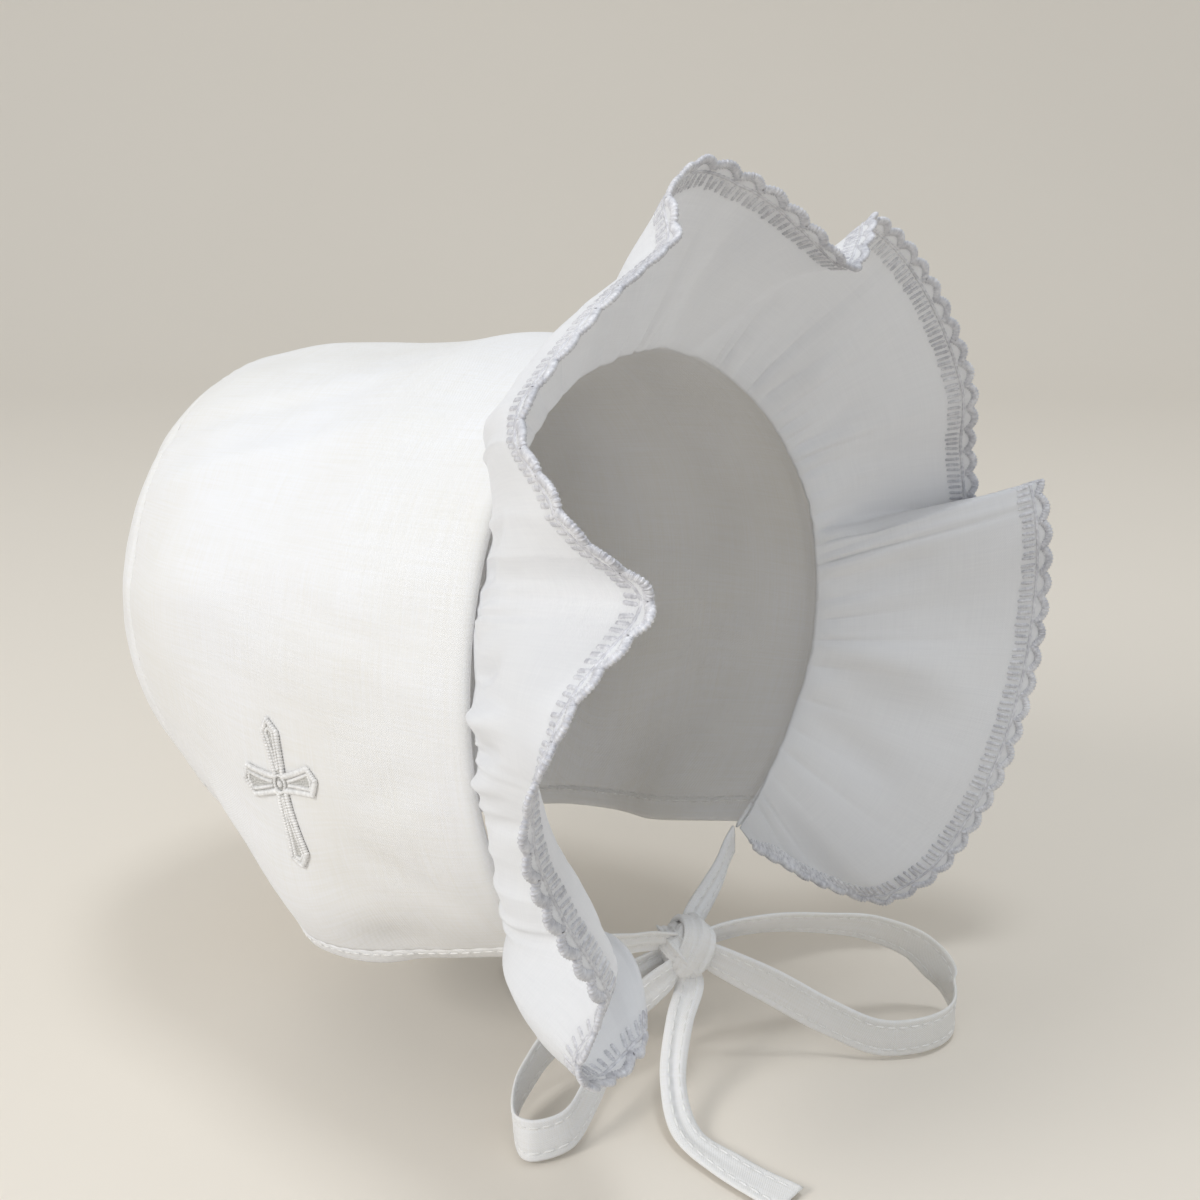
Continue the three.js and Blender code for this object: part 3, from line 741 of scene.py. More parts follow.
def dress(tree, shader, colour, height, strength, distance):
    """Give a shader its colour and its fine relief, and return the relief's normal."""
    bump = node(tree, "ShaderNodeBump")
    bump.inputs["Strength"].default_value = strength
    bump.inputs["Distance"].default_value = distance
    tree.links.new(height, bump.inputs["Height"])
    tree.links.new(colour, shader.inputs["Base Color"])
    tree.links.new(bump.outputs[0], shader.inputs["Normal"])
    return bump.outputs[0]


def cloth_material(name, light, dark, glow, pitch=0.42, weave=0.25):
    """Plain woven cotton: two sets of threads, some of them thicker, and light through the cloth."""
    material, tree, shader = new_material(name)
    flat, parts = cloth_places(tree)
    woven = math_node(tree, "MULTIPLY", waves(tree, parts[0], pitch), waves(tree, parts[1], pitch))
    streaks = []
    for stretch in ((0.06, 2.2, 1), (2.2, 0.06, 1)):
        mapping = node(tree, "ShaderNodeMapping")
        mapping.inputs["Scale"].default_value = stretch
        tree.links.new(flat, mapping.inputs["Vector"])
        streaks.append(noise(tree, mapping.outputs[0], 1.0, 2.0))
    slub = math_node(tree, "ADD", streaks[0], streaks[1])
    cloud = noise(tree, node(tree, "ShaderNodeTexCoord").outputs["Object"], 16.0, 2.0)
    colour = ramp(tree, weighted(tree, cloud, 0.6, slub, 0.3), [(0.47, dark), (0.73, light)])
    normal = dress(tree, shader, colour, weighted(tree, woven, weave, slub, 0.25), 0.55, 0.0002)
    shader.inputs["Roughness"].default_value = 0.85
    shader.inputs["Sheen Weight"].default_value = 0.12
    shader.inputs["Sheen Roughness"].default_value = 0.5
    shader.inputs["Specular IOR Level"].default_value = 0.25
    through = node(tree, "ShaderNodeBsdfTranslucent")
    tree.links.new(colour, through.inputs["Color"])
    tree.links.new(normal, through.inputs["Normal"])
    mixed = node(tree, "ShaderNodeMixShader")
    mixed.inputs[0].default_value = glow
    tree.links.new(shader.outputs[0], mixed.inputs[1])
    tree.links.new(through.outputs[0], mixed.inputs[2])
    tree.links.new(mixed.outputs[0], tree.nodes["Material Output"].inputs["Surface"])
    return material


def thread_material(name, light, dark, rough):
    """Shiny embroidery thread: fine strands across the cord, brighter and darker by turns."""
    material, tree, shader = new_material(name)
    _, parts = cloth_places(tree)
    place = node(tree, "ShaderNodeTexCoord").outputs["Object"]
    uneven = noise(tree, place, 900.0, 2.0)
    patch = noise(tree, place, 60.0, 2.0)
    colour = ramp(tree, weighted(tree, uneven, 0.6, patch, 0.4), [(0.33, dark), (0.66, light)])
    strands = waves(tree, parts[0], 0.26)
    dress(tree, shader, colour, weighted(tree, strands, 0.3, uneven, 1.0), 0.5, 0.00012)
    shader.inputs["Roughness"].default_value = rough
    shader.inputs["Specular IOR Level"].default_value = 0.6
    shader.inputs["Sheen Weight"].default_value = 0.2
    return material


def net_material(name, light, dark):
    """Fine grey net, as a hexagonal-looking crossing of threads over cloth."""
    material, tree, shader = new_material(name)
    flat, _ = cloth_places(tree)
    cells = node(tree, "ShaderNodeTexVoronoi", feature="DISTANCE_TO_EDGE")
    cells.inputs["Scale"].default_value = 1.6
    cells.inputs["Randomness"].default_value = 0.5
    tree.links.new(flat, cells.inputs["Vector"])
    colour = ramp(tree, cells.outputs["Distance"], [(0.05, light), (0.22, dark)])
    tree.links.new(colour, shader.inputs["Base Color"])
    shader.inputs["Roughness"].default_value = 0.7
    return material


CREAM_LIGHT, CREAM_DARK = (0.9, 0.9, 0.915), (0.855, 0.84, 0.81)
WHITE_LIGHT, WHITE_DARK = (0.95, 0.955, 0.97), (0.9, 0.905, 0.925)
crown_cloth = cloth_material("crown_cotton", CREAM_LIGHT, CREAM_DARK, glow=0.12)
hem_cloth = cloth_material("hem_cotton", CREAM_LIGHT, CREAM_DARK, glow=0.1)
ruffle_cloth = cloth_material("ruffle_cotton", WHITE_LIGHT, WHITE_DARK, glow=0.3)
tie_cloth = cloth_material("tie_cotton", CREAM_LIGHT, CREAM_DARK, pitch=0.5, weave=0.3, glow=0.1)
border_thread = thread_material("border_thread", (0.8, 0.8, 0.83), (0.45, 0.45, 0.49), rough=0.34)
white_thread = thread_material("cross_thread", (0.93, 0.92, 0.91), (0.7, 0.69, 0.68), rough=0.32)
sewing_thread = thread_material("sewing_thread", (0.9, 0.89, 0.87), (0.78, 0.77, 0.75), rough=0.6)
cross_net = net_material("cross_net", (0.62, 0.61, 0.59), (0.38, 0.375, 0.36))


# Crown: the band over the head and the horseshoe panel behind it

def panel_edge(side):
    arch = 1 - np.abs(side) ** BACK_PANEL_ROUNDNESS
    return BACK_PANEL_FOOT_SHARE + (BACK_PANEL_TOP_SHARE - BACK_PANEL_FOOT_SHARE) * arch


CROWN_LIFT = HEM_WIDTH - 0.6
crown_nape = nape_depth(CROWN_LIFT)
CROWN_COLUMNS = 240
BAND_ROWS = 84
BACK_ROWS = 90
FRONT_ROLL_WIDTH = 3.2


def side_and_share(columns, rows):
    return np.meshgrid(np.linspace(-1, 1, columns + 1), np.linspace(0, 1, rows + 1))


def seam_tuck(from_seam):
    """How far the cloth is pulled in along the seam of the back panel."""
    return 0.75 * np.exp(-((from_seam / 1.5) ** 2))


def crown_cloth_shell(side, depth, tuck, wall):
    angle = side * neck_angle(depth, CROWN_LIFT)
    points, normals = crown_place(angle, depth, -tuck)
    flat = np.stack([angle * MM_PER_DEGREE, depth * CROWN_DEPTH * np.ones_like(angle)], axis=-1)
    return shell(points, normals, flat, wall)


def make_crown_band():
    side, share = side_and_share(CROWN_COLUMNS, BAND_ROWS)
    edge = panel_edge(side)
    depth = share * edge
    from_seam = (edge - depth) * CROWN_DEPTH
    puckers = 0.16 * np.cos(side * 260) * np.exp(-from_seam / 5)
    front = depth * CROWN_DEPTH
    roll = 0.3 * np.sqrt(np.clip(1 - ((front - 1.5) / 1.6) ** 2, 0, 1))
    wall = CROWN_CLOTH + 2 * np.where(front < FRONT_ROLL_WIDTH, roll, 0)
    shape = crown_cloth_shell(side, depth, seam_tuck(from_seam) + puckers, wall)
    piece = make_mesh("crown_band_cloth", [shape])
    finish_piece(piece, crown_cloth, "crown_cloth", "crown_band")


def make_crown_back():
    side, share = side_and_share(CROWN_COLUMNS, BACK_ROWS)
    closed_at = 0.42
    from_round = roundness(crown_nape)
    left = 1 - np.clip(share / closed_at, 0, 1)
    foot = crown_nape - (crown_nape - BACK_PANEL_FOOT_SHARE) * left * left
    turn = from_round + (math.pi / 2 - from_round) * np.clip((share - closed_at) / (1 - closed_at), 0, 1)
    row_depth = np.where(share < closed_at, foot, 1 - np.cos(turn))
    edge = panel_edge(side)
    inner = (row_depth - BACK_PANEL_FOOT_SHARE) / (1 - BACK_PANEL_FOOT_SHARE)
    depth = np.minimum(edge + inner * (1 - edge), 1)
    tuck = seam_tuck((depth - edge) * CROWN_DEPTH)
    piece = make_mesh("crown_back_cloth", [crown_cloth_shell(side, depth, tuck, CROWN_CLOTH)])
    finish_piece(piece, crown_cloth, "crown_cloth", "crown_back")


def make_crown_stitches():
    """Small stitches along the seam between the band and the back panel, on the band's side."""
    shapes = []
    count = 150
    for i in range(count):
        side = -0.985 + 1.97 * (i + np.array([0.12, 0.35, 0.65, 0.88])) / count
        depth = panel_edge(side) - 1.9 / CROWN_DEPTH
        points, normals = crown_place(side * neck_angle(depth, CROWN_LIFT), depth, CROWN_CLOTH / 2 - 0.2)
        shapes.append(stitch(points, normals, 0.2, 0.16))
    finish_piece(make_mesh("crown_seam_stitches", shapes), sewing_thread, "crown_cloth")


# Neck hem: folded twice, with a row of stitches along its upper edge

HEM_HALF_LENGTH = 150
HEM_STITCHES = 112


def nape_depth_at(lift):
    values = np.unique(np.round(np.asarray(lift, float), 4))
    solved = np.array([nape_depth(value) for value in values])
    return np.interp(lift, values, solved) if len(values) > 1 else solved[0]


def hem_places(side, lift):
    depth = nape_depth_at(lift) * (1 - side * side)
    angle = np.where(side < 0, -1, 1) * neck_angle(depth, lift)
    return angle, depth


def make_neck_hem():
    side, share = side_and_share(360, 10)
    lift = HEM_WIDTH * (1 - share)
    angle, depth = hem_places(side, lift)
    pulled = 0.12 * np.cos(side * 205) * (1 - share)
    points, normals = crown_place(angle, depth, pulled)
    profile = np.sqrt(np.clip(1 - (2 * share - 1) ** 4, 0.12, 1))
    flat = np.stack([side * HEM_HALF_LENGTH, lift], axis=-1)
    piece = make_mesh("neck_hem_cloth", [shell(points, normals, flat, HEM_CLOTH * profile)])
    finish_piece(piece, hem_cloth, "hem_cloth", "neck_hem")
    shapes = []
    for i in range(HEM_STITCHES):
        at = -0.99 + 1.98 * (i + np.linspace(0.1, 0.9, 5)) / HEM_STITCHES
        angle, depth = hem_places(at, np.full(5, HEM_WIDTH * 0.78))
        for skin in (1, -1):
            points, normals = crown_place(angle, depth, skin * (HEM_CLOTH / 2 + 0.02))
            shapes.append(stitch(points, normals, 0.24, 0.17))
    finish_piece(make_mesh("neck_hem_stitches", shapes), sewing_thread, "hem_cloth")


# Ruffle and its embroidered border

def make_ruffle():
    columns = scallops * 9
    rows = 42
    share = np.linspace(0, 1, columns + 1)
    along = along_at_edge(share)
    _, last = inside_edge(share, edge_dip(share) + 0.55)
    first = -1.6 / FRILL_WIDTH
    spread = np.linspace(0, 1, rows + 1) ** 1.15
    across = first + (last[None] - first) * spread[:, None]
    along = np.broadcast_to(along, across.shape)
    points, normals = frill_place(along, across)
    flat = np.stack([np.broadcast_to(share * edge_length, across.shape), across * FRILL_WIDTH], axis=-1)
    wall = np.broadcast_to(FRILL_CLOTH, across.shape)
    piece = make_mesh("ruffle_cloth", [shell(points, -normals, flat, wall)])
    finish_piece(piece, ruffle_cloth, "ruffle_cloth", "ruffle")


SATIN_PITCH = 0.66
SCALLOP_CORD_INSET = 0.75
STRAIGHT_CORD_INSET = 3.5
BARS_PER_SCALLOP = 4
BAR_STEPS = 17
BAR_OUTER_INSET = 3.9
BAR_INNER_INSET = 7.5


def border_cord(share, inset, pitch, depth, half_wide, half_high, sides):
    """A stitched cord along the ruffle's whole edge, some millimetres inside it."""
    points, normals = frill_place(*inside_edge(share, inset))
    ridge = stitched(run_lengths(points), pitch, depth)
    return tube(points, normals, half_wide * ridge, half_high * ridge, sides=sides)


def make_border():
    """Satin-stitched scallops, the straight cord inside them, and the row of short bars."""
    fine = np.linspace(0.0015, 0.9985, int(edge_length / SATIN_PITCH * 3.6))
    plain = np.linspace(0.0015, 0.9985, int(edge_length / 0.4))
    shapes = [
        border_cord(fine, edge_dip(fine) + SCALLOP_CORD_INSET, SATIN_PITCH, 0.3, 1.12, 0.68, 8),
        border_cord(plain, STRAIGHT_CORD_INSET, 1.25, 0.25, 0.55, 0.5, 6),
    ]
    rng = np.random.default_rng(8)
    count = scallops * BARS_PER_SCALLOP
    for i in range(count):
        at = (i + 0.5) / count + rng.uniform(-0.1, 0.1) / count
        inner = BAR_INNER_INSET + rng.uniform(-0.4, 0.3)
        tilt = rng.uniform(-0.2, 0.2) / count
        inset = np.linspace(BAR_OUTER_INSET, inner, BAR_STEPS)
        points, normals = frill_place(*inside_edge(at + tilt * np.linspace(0, 1, BAR_STEPS), inset))
        swell = rounded_end(BAR_STEPS, 0.22) * stitched(inset, 0.62, 0.24)
        wide = (0.64 + rng.uniform(-0.06, 0.05)) * swell
        shapes.append(tube(points, normals, wide, 0.48 * swell, sides=6))
    finish_piece(make_mesh("border_embroidery", shapes), border_thread, "border_embroidery", "ruffle_border")


# Cross: net between raised satin outlines, with an inner outline in each arm and a dot at the crossing

CENTRE_RISE = CROSS_LENGTH * CROSSING_ABOVE_MIDDLE_SHARE
# Arms, each: turn in degrees, length, half width at the heart and where it flares, length of its point
CROSS_ARMS = [
    (90, CROSS_LENGTH / 2 - CENTRE_RISE, 1.35, 2.5, 2.6),
    (0, CROSS_SPAN / 2, 1.5, 3.2, 2.2),
    (-90, CROSS_LENGTH / 2 + CENTRE_RISE, 1.35, 2.9, 2.6),
    (180, CROSS_SPAN / 2, 1.5, 3.2, 2.2),
]


def arm_half_width(share, heart, flare):
    return heart + (flare - heart) * share ** 1.5


def cross_place(right, up, height):
    """A place on the crown's side by millimetres right and up from the cross's middle."""
    turn = math.radians(CROSS_TURN)
    step = 0.01
    here = crown_point(CROSS_ANGLE, CROSS_DEPTH_SHARE)
    back = np.linalg.norm(crown_point(CROSS_ANGLE, CROSS_DEPTH_SHARE + step) - here)
    rise = np.linalg.norm(crown_point(CROSS_ANGLE + 1, CROSS_DEPTH_SHARE) - here)
    tall = up * math.cos(turn) - right * math.sin(turn)
    rear = up * math.sin(turn) + right * math.cos(turn)
    return crown_place(CROSS_ANGLE + tall / rise, CROSS_DEPTH_SHARE + rear * step / back, height)


def arm_point(turn, along, aside):
    angle = math.radians(turn)
    right = along * math.cos(angle) - aside * math.sin(angle)
    up = along * math.sin(angle) + aside * math.cos(angle) + CENTRE_RISE
    return right, up


def arm_side(length, heart, flare, point, start, inset):
    """Half an arm's outline, from near the crossing to its pointed end: lengths along and aside."""
    shoulder = length - point
    share = np.linspace(start / shoulder, 1, 14)
    along = share * shoulder
    aside = arm_half_width(share, heart, flare) - inset
    end = np.linspace(0, 1, 6)[1:]
    tip = length - inset * 1.3
    along = np.concatenate([along, shoulder + (tip - shoulder) * end])
    aside = np.concatenate([aside, (flare - inset) * (1 - end)])
    return along, np.maximum(aside, 0)


def satin_line(right, up, height, half_wide, half_high):
    """A satin-stitched line on the crown, evenly sampled so that each stitch shows."""
    run = np.stack([right, up], axis=-1)
    lengths = run_lengths(run)
    count = max(8, int(lengths[-1] / SATIN_PITCH * 4.5))
    even = np.linspace(0, lengths[-1], count)
    right = np.interp(even, lengths, run[:, 0])
    up = np.interp(even, lengths, run[:, 1])
    points, normals = cross_place(right, up, height)
    ridge = stitched(even, SATIN_PITCH, 0.34)
    return tube(points, normals, half_wide * ridge, half_high * ridge, sides=8)


def make_cross():
    net, lines = [], []
    base = CROWN_CLOTH / 2
    for turn, length, heart, flare, point in CROSS_ARMS:
        share = np.linspace(0, 1, 24)
        shoulder = length - point
        along = share * length
        body = arm_half_width(np.clip(along / shoulder, 0, 1), heart, flare)
        taper = np.clip((length - along) / point, 0.02, 1)
        half = body * np.where(along > shoulder, taper, 1)
        aside = np.linspace(-1, 1, 7)[:, None] * half[None]
        along_grid = np.broadcast_to(along, aside.shape)
        right, up = arm_point(turn, along_grid, aside)
        points, normals = cross_place(right, up, base + 0.22)
        flat = np.stack([right, up], axis=-1)
        net.append(shell(points, normals, flat, 0.3))
        for inset, start, wide, high in ((0, heart * 0.9, 0.72, 0.62), (1.3, heart + 1.6, 0.42, 0.5)):
            out, away = arm_side(length, heart, flare, point, start, inset)
            whole_along = np.concatenate([out, out[::-1][1:]])
            whole_aside = np.concatenate([away, -away[::-1][1:]])
            right, up = arm_point(turn, whole_along, whole_aside)
            lines.append(satin_line(right, up, base + 0.42, wide, high))
    turned = np.linspace(0, 2 * math.pi, 30)
    lines.append(satin_line(1.9 * np.cos(turned), 1.9 * np.sin(turned) + CENTRE_RISE, base + 0.6, 0.34, 0.4))
    dot_at = np.linspace(-0.75, 0.75, 9)
    points, normals = cross_place(dot_at, np.full(9, CENTRE_RISE), base + 0.6)
    swell = rounded_end(9, 0.5)
    lines.append(tube(points, normals, 0.75 * swell, 0.5 * swell, sides=10))
    finish_piece(make_mesh("cross_net", net), cross_net, "cross_embroidery", "embroidered_cross")
    finish_piece(make_mesh("cross_satin", lines), white_thread, "cross_embroidery")


# Ties

def catmull_rom(points):
    """A centripetal curve through points, by share of their count."""
    points = np.asarray(points, float)
    padded = np.concatenate([[2 * points[0] - points[1]], points, [2 * points[-1] - points[-2]]])
    gaps = np.linalg.norm(np.diff(padded, axis=0), axis=-1) ** 0.5

    def curve(share):
        place = np.clip(np.asarray(share, float), 0, 1) * (len(points) - 1)
        i = np.minimum(place.astype(int), len(points) - 2)
        t = (place - i)[:, None]
        before, start, end, after = padded[i], padded[i + 1], padded[i + 2], padded[i + 3]
        gap_0, gap_1, gap_2 = gaps[i][:, None], gaps[i + 1][:, None], gaps[i + 2][:, None]
        leave = (start - before) / gap_0 - (end - before) / (gap_0 + gap_1) + (end - start) / gap_1
        reach = (end - start) / gap_1 - (after - start) / (gap_1 + gap_2) + (after - end) / gap_2
        leave = leave * gap_1
        reach = reach * gap_1
        cube = 2 * start - 2 * end + leave + reach
        square = -3 * start + 3 * end - 2 * leave - reach
        return start + leave * t + square * t * t + cube * t ** 3

    return curve


corner_drop = OPENING_RISE * math.cos(radians(CORNER_ANGLE))
knot_at = np.array([0, -KNOT_FORWARD, corner_drop - KNOT_DROP])


def from_knot(heading, reach, rows, back=False):
    """Rows of a route as places with their lean and width. A run that comes back leans the other way."""
    ahead = np.array([math.cos(radians(heading)), math.sin(radians(heading)), 0])
    left = np.array([-ahead[1], ahead[0], 0])
    places = []
    for out, aside, down, lean, wide in rows:
        at = knot_at + ahead * reach * out + left * reach * aside - np.array([0, 0, BOW_DROP * down])
        places.append((at, -lean if back else lean, wide))
    return places[::-1] if back else places


def into_knot(places, first=True):
    """The same route with one more place inside the knot, where the strap goes in."""
    at, lean, wide = places[0] if first else places[-1]
    inside = (at + (knot_at - at) * 0.6, lean, wide * 0.7)
    return [inside] + places if first else places + [inside]


STITCH_PITCH = 2.9
STITCH_INSET = 1.75
STRAP_COLUMNS = 22


def strap_surface(places, steps):
    """Middle points and face normals of a strap, from its centre line, lean and width."""
    line = catmull_rom([at for at, _, _ in places])
    rows = [(i / (len(places) - 1), lean, wide) for i, (_, lean, wide) in enumerate(places)]
    lean_at = column_curve(rows, ("share", "lean", "wide"), "share", "lean")
    wide_at = column_curve(rows, ("share", "lean", "wide"), "share", "wide")
    dense = np.linspace(0, 1, 400)
    lengths = run_lengths(line(dense))
    share = np.interp(np.linspace(0, lengths[-1], steps), lengths, dense)
    centre = line(share)
    along = unit(np.gradient(centre, axis=0))
    flat = unit(np.cross(along, np.array([0, 0, 1.0])))
    upright = unit(np.cross(flat, along))
    lean = radians(lean_at(share))[:, None]
    aside = np.cos(lean) * upright + np.sin(lean) * flat
    face = unit(np.cross(along, aside))
    return centre, aside, face, TIE_WIDTH * wide_at(share), np.linspace(0, lengths[-1], steps)


def make_strap(name, places, nodes, seed, free_end=False):
    """A cotton strap with folded edges and a row of stitches along each."""
    length = run_lengths(catmull_rom([at for at, _, _ in places])(np.linspace(0, 1, 300)))[-1]
    steps = int(length / 0.7)
    centre, aside, face, width, run = strap_surface(places, steps)
    share = np.linspace(-0.5, 0.5, STRAP_COLUMNS + 1)
    offset = share[:, None] * width[None]
    from_edge = width[None] / 2 - np.abs(offset)
    stitch_pull = 0.2 * np.exp(-(((from_edge - STITCH_INSET) / 0.55) ** 2))
    pucker = 0.6 + 0.4 * np.cos(2 * math.pi * run / STITCH_PITCH)
    wall = TIE_CLOTH - 2 * stitch_pull * pucker[None]
    wall = wall * np.sqrt(np.clip(1 - (1 - np.clip(from_edge / 0.5, 0, 1)) ** 2, 0.1, 1))
    if free_end:
        wall = wall * np.sqrt(np.clip((run[-1] - run) / 0.6 + 0.15, 0.15, 1))[None]
    points = centre[None] + aside[None] * offset[..., None]
    uneven = 0.22 * ripples(points, seed, 26, 9)
    bunched = np.clip(1 - width / TIE_WIDTH, 0, 1) * 0.9
    creases = bunched[None] * np.cos(share[:, None] * 4 * math.pi)
    points = points + face[None] * (uneven + creases)[..., None]
    normals = np.broadcast_to(face[None], points.shape)
    flat = np.stack(np.broadcast_arrays(run[None], offset), axis=-1)
    piece = make_mesh(name, [shell(points, -normals, flat, wall)])
    finish_piece(piece, tie_cloth, "tie_tape", *nodes)
    shapes = []
    for row in (-1, 1):
        for i in range(int(length / STITCH_PITCH)):
            at = (i + np.linspace(0.1, 0.9, 5)) * STITCH_PITCH
            if at[-1] > run[-1] - 0.5:
                continue
            step = np.interp(at, run, np.arange(steps))
            wide = np.interp(at, run, width)
            column = (0.5 + row * (0.5 - STITCH_INSET / wide)) * STRAP_COLUMNS
            spot = grid_at(points, column, step)
            over = unit(grid_at(normals, column, step))
            for skin in (1, -1):
                shapes.append(stitch(spot + over * skin * (TIE_CLOTH / 2 - 0.12), over, 0.27, 0.22))
    finish_piece(make_mesh(name + "_stitches", shapes), sewing_thread, "tie_tape")


def corner_tie(side):
    corner = seam_point(side * CORNER_ANGLE)
    start = corner + np.array([-side * TIE_INSET, TIE_INSET, -TIE_BELOW_CORNER])
    inner = knot_at + np.array([side * KNOT_WIDTH / 2, KNOT_WIDTH / 8, KNOT_HEIGHT / 4])
    middle = (start + inner) / 2 + np.array([0, -TIE_SAG, TIE_SAG])
    places = [
        (start, 0, 0.9),
        ((start + middle) / 2, 8, 0.75),
        (middle, 20, 0.66),
        (inner, 32, 0.66),
    ]
    return into_knot(places, first=False)


# Turns of strap, each: tilt in degrees, shift along the knot, half width, depth, height, depth of creases
KNOT_TURNS = [
    (24, 0.3, 4.3, 5.4, 6.3, 0.05),
    (-38, -1.8, 2.7, 4.9, 6.6, 0.07),
    (62, 1.4, 1.9, 4.4, 6.2, 0.05),
]
KNOT_HEADING = -32


def knot_band(tilt, shift, half_width, deep, tall, fold):
    """A turn of strap pulled tight round the knot, creased along its length."""
    phi, x = np.meshgrid(np.linspace(0, 2 * math.pi, 97), np.linspace(-1, 1, 21), indexing="ij")
    level = np.array([math.cos(radians(KNOT_HEADING)), math.sin(radians(KNOT_HEADING)), 0])
    upright = np.array([0, 0, 1.0])
    lean = radians(tilt)
    through = math.cos(lean) * level - math.sin(lean) * upright
    up = math.sin(lean) * level + math.cos(lean) * upright
    ahead = np.cross(through, up)
    round_off = (np.abs(np.cos(phi) / tall) ** 2.5 + np.abs(np.sin(phi) / deep) ** 2.5) ** (-1 / 2.5)
    creases = fold * np.cos(x * 6.5 + 0.9 * np.sin(phi + tilt)) + 0.6 * fold * np.cos(x * 13 + 2 * phi)
    radius = round_off * (1 - 0.24 * np.abs(x) ** 2.6 + creases)
    wide = half_width * (0.86 + 0.14 * np.sin(phi)) * x + shift
    radial = up * np.cos(phi)[..., None] + ahead * np.sin(phi)[..., None]
    points = knot_at + through * wide[..., None] + radial * radius[..., None]
    normals = unit(radial + through * (0.7 * x * np.abs(x))[..., None])
    return shell(points, normals, np.stack([phi * 5, x * half_width], axis=-1), 0.9)


def make_knot():
    """The knot: turns of strap over a soft core."""
    shapes = [knot_band(*turn) for turn in KNOT_TURNS]
    around = np.linspace(0, 2 * math.pi, 73)
    low = np.linspace(0.12, math.pi - 0.12, 25)
    theta, phi = np.meshgrid(low, around)
    fold = 1 + 0.07 * np.cos(5 * phi + 1.2) + 0.04 * np.cos(9 * phi)
    core = np.stack(
        [
            KNOT_WIDTH / 2 * 1.12 * np.cos(theta),
            (KNOT_WIDTH / 2 - 0.7) * np.sin(theta) * np.sin(phi) * fold,
            (KNOT_HEIGHT / 2 - 1.0) * np.sin(theta) * np.cos(phi) * fold,
        ],
        axis=-1,
    )
    shapes.append(shell(core + knot_at, unit(core), np.stack([phi * 5, theta * 4], axis=-1), 0.6))
    piece = make_mesh("bow_knot_cloth", shapes)
    finish_piece(piece, tie_cloth, "tie_tape", "bow_knot")


def make_ties():
    make_knot()
    make_strap("tie_near_cloth", corner_tie(-1), ["tie_near"], 31)
    make_strap("tie_far_cloth", corner_tie(1), ["tie_far"], 32)
    loops = (
        ("bow_loop_right_cloth", RIGHT_LOOP_HEADING, RIGHT_LOOP_REACH, RIGHT_LOOP_UPPER, RIGHT_LOOP_LOWER,
         ["bow_loop_right_upper", "bow_loop_right_lower"], 33),
        ("bow_loop_left_cloth", LEFT_LOOP_HEADING, LEFT_LOOP_REACH, LEFT_LOOP_FRONT, LEFT_LOOP_REAR,
         ["bow_loop_left_front", "bow_loop_left_rear"], 34),
    )
    for name, heading, reach, out_rows, back_rows, nodes, seed in loops:
        places = from_knot(heading, reach, out_rows) + from_knot(heading, reach, back_rows, back=True)
        make_strap(name, into_knot(into_knot(places), first=False), nodes, seed)
    tails = (
        ("tie_tail_right_cloth", RIGHT_TAIL_HEADING, RIGHT_TAIL, "tie_tail_right", 35),
        ("tie_tail_left_cloth", LEFT_TAIL_HEADING, LEFT_TAIL, "tie_tail_left", 36),
    )
    for name, heading, rows, replaced, seed in tails:
        places = into_knot(from_knot(heading, TAIL_REACH, rows))
        make_strap(name, places, [replaced], seed, free_end=True)


# Studio: camera, floor and backdrop, lights

CAMERA_PLACE = (-0.248506, -0.212742, 0.041498)
CAMERA_RIGHT = (0.58831, -0.80864, 0.0)
CAMERA_UP = (0.23444, 0.17056, 0.95705)
CAMERA_BACK = (-0.77391, -0.56304, 0.28992)
CAMERA_LENS = 45
SENSOR_WIDTH = 36
LEVEL_BACK = Vector((CAMERA_BACK[0], CAMERA_BACK[1], 0)).normalized()


def make_camera():
    data = bpy.data.cameras.new("camera")
    data.lens = CAMERA_LENS
    data.sensor_width = SENSOR_WIDTH
    data.clip_start = 0.01
    camera = add_object("camera", data)
    turn =Matrix((CAMERA_RIGHT, CAMERA_UP, CAMERA_BACK)).transposed()
    camera.matrix_world = Matrix.Translation(Vector(CAMERA_PLACE)) @ turn.to_4x4()
    bpy.context.scene.camera = camera


FLOOR_BELOW = 0.0008
FLOOR_FRONT = 9
FLOOR_BACK = 0.9
BACKDROP_BEND = 0.8
BACKDROP_RISE = 2.4
BACKDROP_HALF_WIDTH = 9
PAPER_LIGHT, PAPER_DARK = (0.78, 0.725, 0.645), (0.76, 0.705, 0.625)


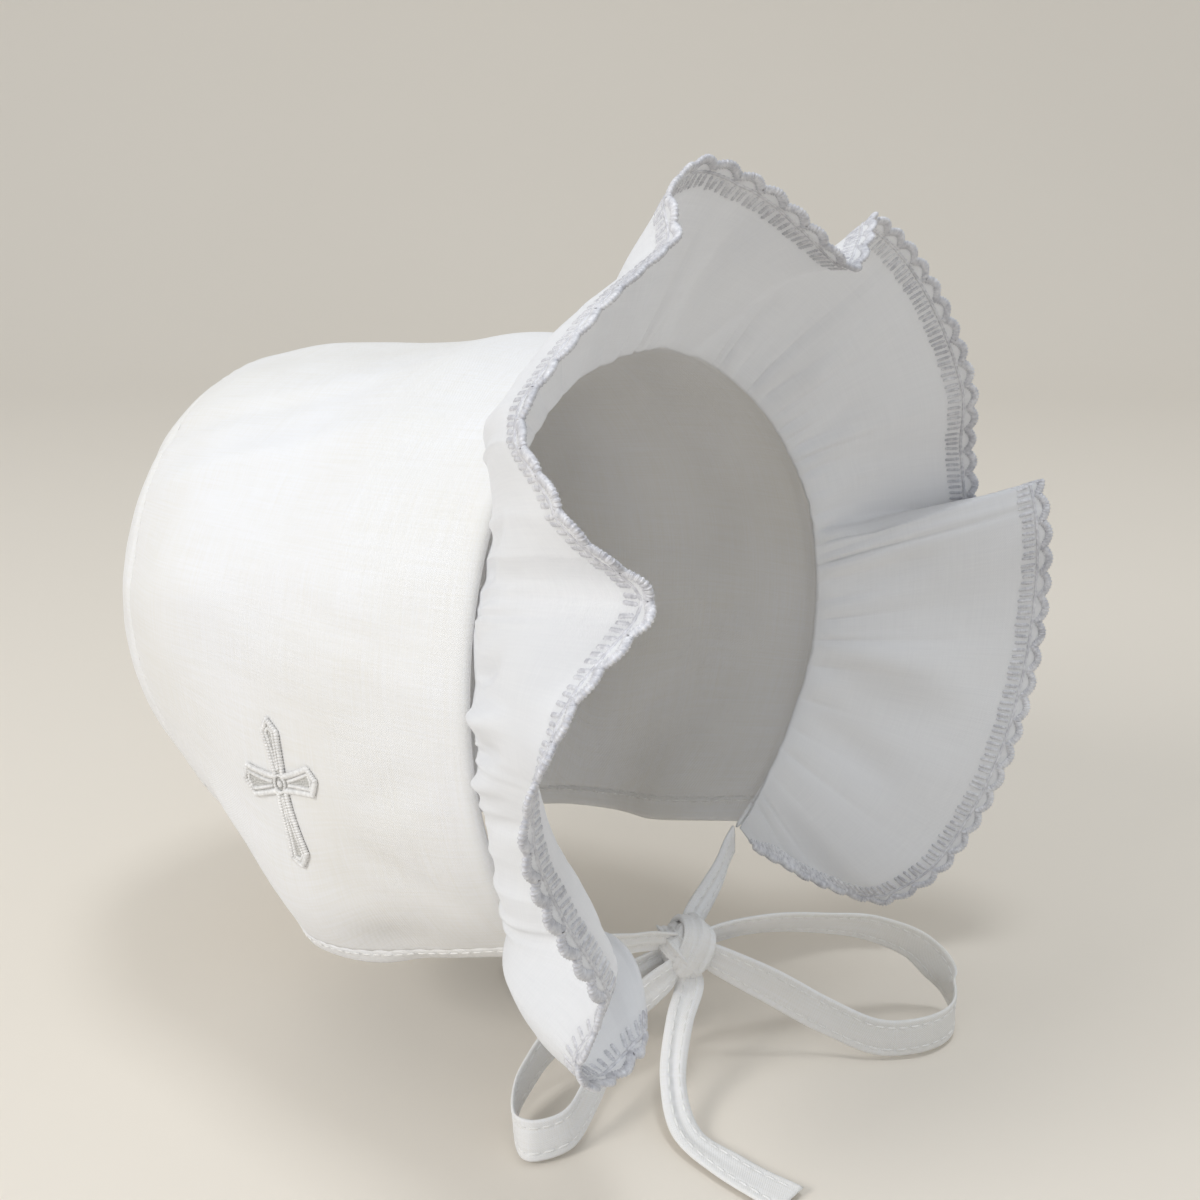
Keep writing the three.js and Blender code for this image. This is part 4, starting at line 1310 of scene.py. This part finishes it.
def make_backdrop():
    """A paper floor that bends up into a backdrop behind the bonnet."""
    floor = float(cad_box[0][2]) - FLOOR_BELOW
    beside = Vector(CAMERA_RIGHT)
    profile = [(-FLOOR_FRONT, 0), (0, 0), (FLOOR_BACK, 0)]
    for i in range(1, 17):
        angle = i / 16 * math.pi / 2
        profile.append((FLOOR_BACK + BACKDROP_BEND * math.sin(angle), BACKDROP_BEND * (1 - math.cos(angle))))
    profile.append((FLOOR_BACK + BACKDROP_BEND, BACKDROP_RISE))
    vertices = []
    for far, rise in profile:
        for side in (-BACKDROP_HALF_WIDTH, BACKDROP_HALF_WIDTH):
            place = beside * side - LEVEL_BACK * far
            vertices.append((place.x, place.y, floor + rise))
    faces = [(2 * i, 2 * i + 1, 2 * i + 3, 2 * i + 2) for i in range(len(profile) - 1)]
    mesh = bpy.data.meshes.new("backdrop")
    mesh.from_pydata(vertices, [], faces)
    mesh.polygons.foreach_set("use_smooth", np.ones(len(mesh.polygons), bool))
    backdrop = add_object("backdrop", mesh)
    material, tree, shader = new_material("backdrop_paper")
    place = node(tree, "ShaderNodeTexCoord").outputs["Object"]
    colour = ramp(tree, noise(tree, place, 1.2), [(0.3, PAPER_DARK), (0.7, PAPER_LIGHT)])
    tree.links.new(colour, shader.inputs["Base Color"])
    shader.inputs["Roughness"].default_value = 0.9
    mesh.materials.append(material)


# Lights, each: name, metres to the right, up and back towards the camera, size, power, colour
LIGHTS = [
    ("key", -1.0, 0.72, 0.8, 0.5, 9.2, (1.0, 0.985, 0.965)),
    ("over", 0.12, 1.1, 0.1, 0.25, 2.7, (0.93, 0.965, 1.0)),
    ("behind", 0.75, 0.7, -0.8, 0.4, 0.3, (0.98, 0.99, 1.0)),
]
AIR_COLOUR = (0.92, 0.96, 1.0, 1)
AIR_STRENGTH = 0.68


def make_lights():
    target = Vector((0, -0.03, -0.06))
    for name, right, up, back, size, power, colour in LIGHTS:
        data = bpy.data.lights.new(name, "AREA")
        data.size = size
        data.energy = power
        data.color = colour
        light = add_object(name, data)
        light.location = target + Vector(CAMERA_RIGHT) * right + Vector((0, 0, up)) + LEVEL_BACK * back
        light.rotation_euler = (target - light.location).to_track_quat("-Z", "Y").to_euler()
    world = bpy.data.worlds.new("studio_air")
    world.use_nodes = True
    world.node_tree.nodes["Background"].inputs["Color"].default_value = AIR_COLOUR
    world.node_tree.nodes["Background"].inputs["Strength"].default_value = AIR_STRENGTH
    bpy.context.scene.world = world
    bpy.context.scene.view_settings.view_transform = "Standard"
    bpy.context.scene.view_settings.look = "None"


make_camera()
make_crown_band()
make_crown_back()
make_crown_stitches()
make_neck_hem()
make_ruffle()
make_border()
make_cross()
make_ties()
make_backdrop()
make_lights()
